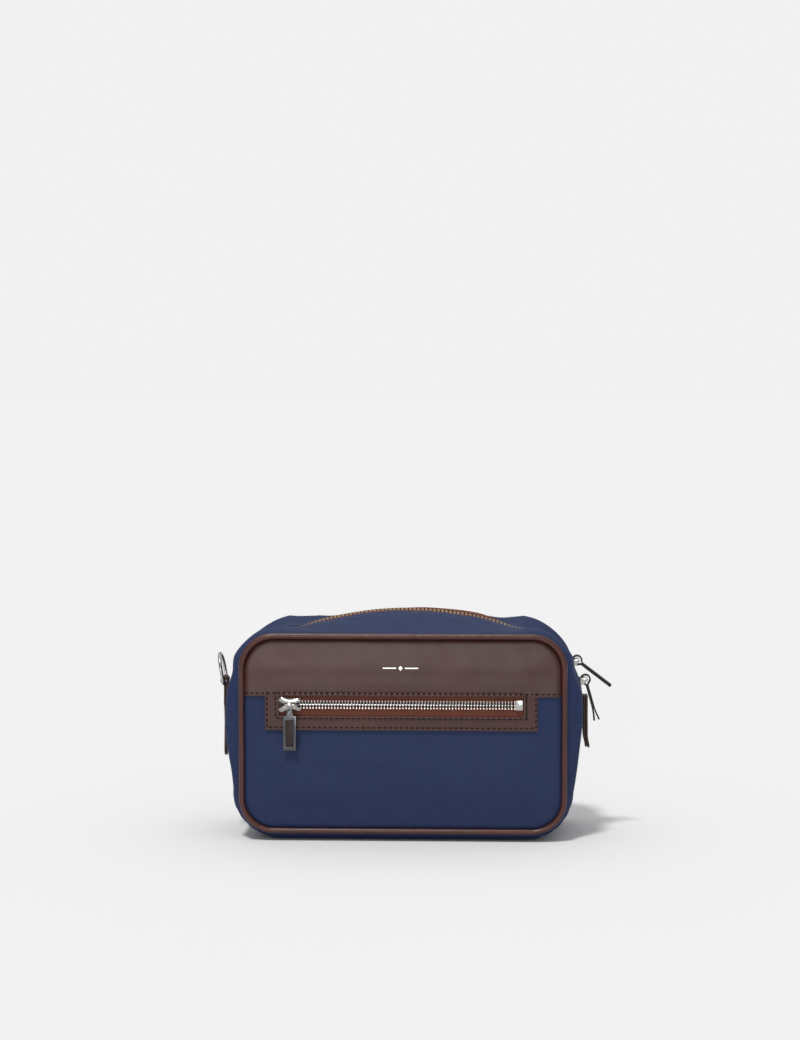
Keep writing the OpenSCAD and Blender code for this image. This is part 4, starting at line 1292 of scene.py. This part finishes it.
def lined(qs, ys, under):
    """The lining under the skin, a little slack."""
    q, y = np.meshgrid(qs, ys, indexing="ij")
    slack = 0.25 * unevenness(q * 50, y, 61, 30)
    points = skin(q, y, under, plain=True)
    deeper = skin(q, y, under + 1, plain=True)
    return points + (deeper - points) * slack[..., None]


points = lined(lining_q, lining_y, 4.2)
flat = cut_map(np.arange(len(lining_q)) * 6.0, lining_y)
base = cloth_shell("lining_gusset_cloth", points, flat, 0.5, (0, 0, -1))
fit(base, LINING, "bag", "lining_cloth", "lining_gusset")
mouth_y = np.array([-36.3, -33.7, -30, -26, -22, -18, -15, -12.6])
for which, sign in (("front", 1), ("back", -1)):
    points = lined(strip_q[::2], sign * mouth_y, 3.8)
    flat = cut_map(np.arange(len(points)) * 5.0, mouth_y)
    strip = cloth_shell("mouth_lining", points, flat, 0.5, (0, 0, 1))
    sides = {"front": (("lining_side_left",), ("lining_side_right", "flap_lining_front")),
             "back": (("flap_lining_back",), ())}[which]
    made = over_mouth(strip, f"mouth_lining_{which}_*", which, LINING, "lining_cloth", *sides)


def fibre_board():
    f = Finish(bpy.data.materials.new("grey fibre board"))
    at = f.node("ShaderNodeTexCoord", output=3)
    fleck = f.noise(at, 900.0, 4.0, 0.7)
    colour = f.mix(fleck, (0.05, 0.05, 0.05), (0.14, 0.14, 0.135))
    return f.surface(colour, fleck * 0.2 + 0.7, fleck, 0.00008)


board = frame["nodes"]["base_board"]
board.data.materials.clear()
board.data.materials.append(fibre_board())

# ---- Left side: loop, ring and end tab
# A doubled leather strip is sewn flat up the left end of the zip: its top is folded into a
# loop for a nickel D ring, and below the stitching a narrow end hangs free.
SIDE = hide("side strap leather", linear(42, 26, 23), linear(78, 52, 46), 1300.0, 0.00004, 0.36, 0.15)
d_lo, d_hi = drawn_box("d_ring_loop")
free_lo, free_hi = drawn_box("end_tab_left")
PIN_X, PIN_Z = -(FULL_HALF + 2.3), ARC_Z + 19
loop_path = [(d_hi.x - 1.0, d_lo.z + 0.3), (d_hi.x - 0.9, d_lo.z + 6), (d_hi.x - 0.75, PIN_Z - 3.4)]
for a in np.linspace(-35, 215, 22):
    loop_path.append((PIN_X + 2.1 * math.cos(math.radians(a)), PIN_Z + 2.1 * math.sin(math.radians(a))))
loop_path += [(d_hi.x - 2.35, PIN_Z - 3.6), (d_hi.x - 2.3, d_lo.z + 6), (d_hi.x - 2.45, d_lo.z + 1.1)]


def strap_piece(path, widths, thick, name, edge=0.3):
    """A leather strap along an (x, z) path, widths across it, with softly rounded edges."""
    path = np.array([(x, 0.0, z) for x, z in path])
    widths = np.broadcast_to(np.asarray(widths, float), (len(path),))
    sections = np.array([rounded_box(thick, w, edge, 4) for w in widths])
    return sweep(path, (0, 1, 0), sections, False, name, 50)


loop_w = np.concatenate([[14, 14, 13.4], np.full(22, 12.6), [13.4, 14, 14]])
loop = strap_piece(loop_path, loop_w, 1.25, "d_ring_loop_leather")
fit(loop, SIDE, "bag", "tab_leather", "d_ring_loop")
softened("d_ring", NICKEL, "ring_metal", 0.01)
tip = np.linspace(0, 1, 30)
tab_x = (free_lo.x + free_hi.x) / 2
hem_z = free_hi.z + 3.2
left_path = [
    (tab_x + 0.15 + 0.5 * math.sin(t * 3) * (1 - t), hem_z - t * (hem_z - free_lo.z)) for t in tip
]
left_w = 12 * np.sqrt(np.clip(1 - np.clip((tip - 0.86) / 0.145, 0, 1) ** 2, 0.02, 1))
left_tab = strap_piece(left_path, left_w, 1.7, "end_tab_left_leather", 0.3)
fit(left_tab, SIDE, None, "tab_leather", "end_tab_left")
FLEX_L, FLEX_R = free_hi.z * MM, (ARC_Z - 3) * MM
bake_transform(left_tab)

# ---- Right side: end tab
# A folded leather hand hold sewn over the right end of the zip tape; its free end hangs down
# and kicks out at the tip.
cap_lo, cap_hi = drawn_box("end_tab_cap_right")
grip_lo = drawn_box("end_tab_right")[0]
base_x = (cap_lo.x + cap_hi.x) / 2
long = cap_hi.z - grip_lo.z
t = np.linspace(0, 1, 34)
kick = 1.5 * smooth((t - 0.7) / 0.3) ** 1.5
widths = 13.6 * np.sqrt(np.clip(1 - (np.clip((t - 0.84) / 0.165, 0, 1)) ** 2, 0.04, 1))
leaves = []
for off, open_by, away, shorter in ((-0.85, 0.1, 0, 0.6), (0.85, 0.5, 0.4, 0)):
    gape = smooth((t - 0.25) / 0.6) * open_by - 0.35 * hump(t - 0.05, 0.08)
    xs = base_x + off * (1 - 0.25 * gape) + kick + gape * away
    zs = cap_hi.z - t * (long - shorter)
    leaves.append(strap_piece(list(zip(xs, zs)), widths, 1.5, "leaf", 0.35))
right_tab = joined("end_tab_right_leather", leaves)
fit(right_tab, SIDE, None, "tab_leather", "end_tab_right", "end_tab_cap_right")
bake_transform(right_tab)

# ---- Main sliders and strap pulls
# Two nickel sliders meet tail to tail at the right end; each has a bail that holds a narrow
# strip of near-black leather folded over it and glued to itself.
STRAP = hide("strap pull leather", linear(14, 11, 11), linear(38, 31, 30), 1500.0, 0.00004, 0.3, 0.2)
EYE_R = 3.2
MAIN_PLAN = [
    (-4.9, 3.4, 1.6), (-4.6, 4.3, 1.3), (-3.8, 4.9, 0.6), (-2.6, 4.8, 0), (-1.2, 4.3, 0), (0.2, 3.9, 0),
    (1.8, 3.85, 0), (3.4, 3.9, 0), (4.5, 3.9, 0), (4.95, 3.2, 0),
]
# Each slider's place on the corner arc, how far its strap leans out, which way its tail points,
# and how far the strap's two ends stand apart
for which, angle, lean, tail, fork in (("upper", 30.0, 22.7, 1, 0.0), ("lower", 17.5, -1.9, -1, 1.0)):
    a = math.radians(angle)
    out = np.array([math.cos(a), 0, math.sin(a)])
    along = tail * np.array([-math.sin(a), 0, math.cos(a)])
    centre = np.array([ARC_X, 0, ARC_Z]) + ARC_R * out
    cast = joined(f"{which}_slider_cast", slider_body(MAIN_PLAN, 1.1, 4.9, "main_slider"))
    axes = np.stack([along, -out, np.cross(along, -out)], 1)
    placed(cast, axes, centre - 0.35 * out)
    fit(cast, POLISHED, f"{which}_slider_body", "slider_metal", f"{which}_slider")
    softened(f"{which}_bail", NICKEL, "slider_metal", 0.3)
    pivot = centre + 5.6 * out
    b = math.radians(angle - (90 - lean))
    go = np.array([math.cos(b), 0, math.sin(b)])
    rise = np.array([-math.sin(b), 0, math.cos(b)])
    turns = np.radians(np.linspace(28, 332, 26))
    circle = [(EYE_R * math.cos(t), EYE_R * math.sin(t)) for t in turns]
    run = np.linspace(4.2, 29.6, 18)
    spread = 0.52 + fork * 1.3 * np.clip((run - 20) / 10, 0, 1) ** 1.6
    tail_out = list(zip(run, spread))
    flat_path = tail_out[::-1] + circle + [(r, -s) for r, s in tail_out]
    path = [pivot + go * u + rise * v for u, v in flat_path]
    reach = np.concatenate([run[::-1], np.full(len(turns), EYE_R), run])
    taper = np.interp(reach, [3, 7, 8.5, 28.6, 29.6], [4.6, 4.8, 7.0, 7.0, 6.2])
    strap = strap_piece([(p[0], p[2]) for p in path], taper, 1.1, f"{which}_strap_leather", 0.22)
    fit(strap, STRAP, f"{which}_pull", "strap_leather", f"{which}_strap")
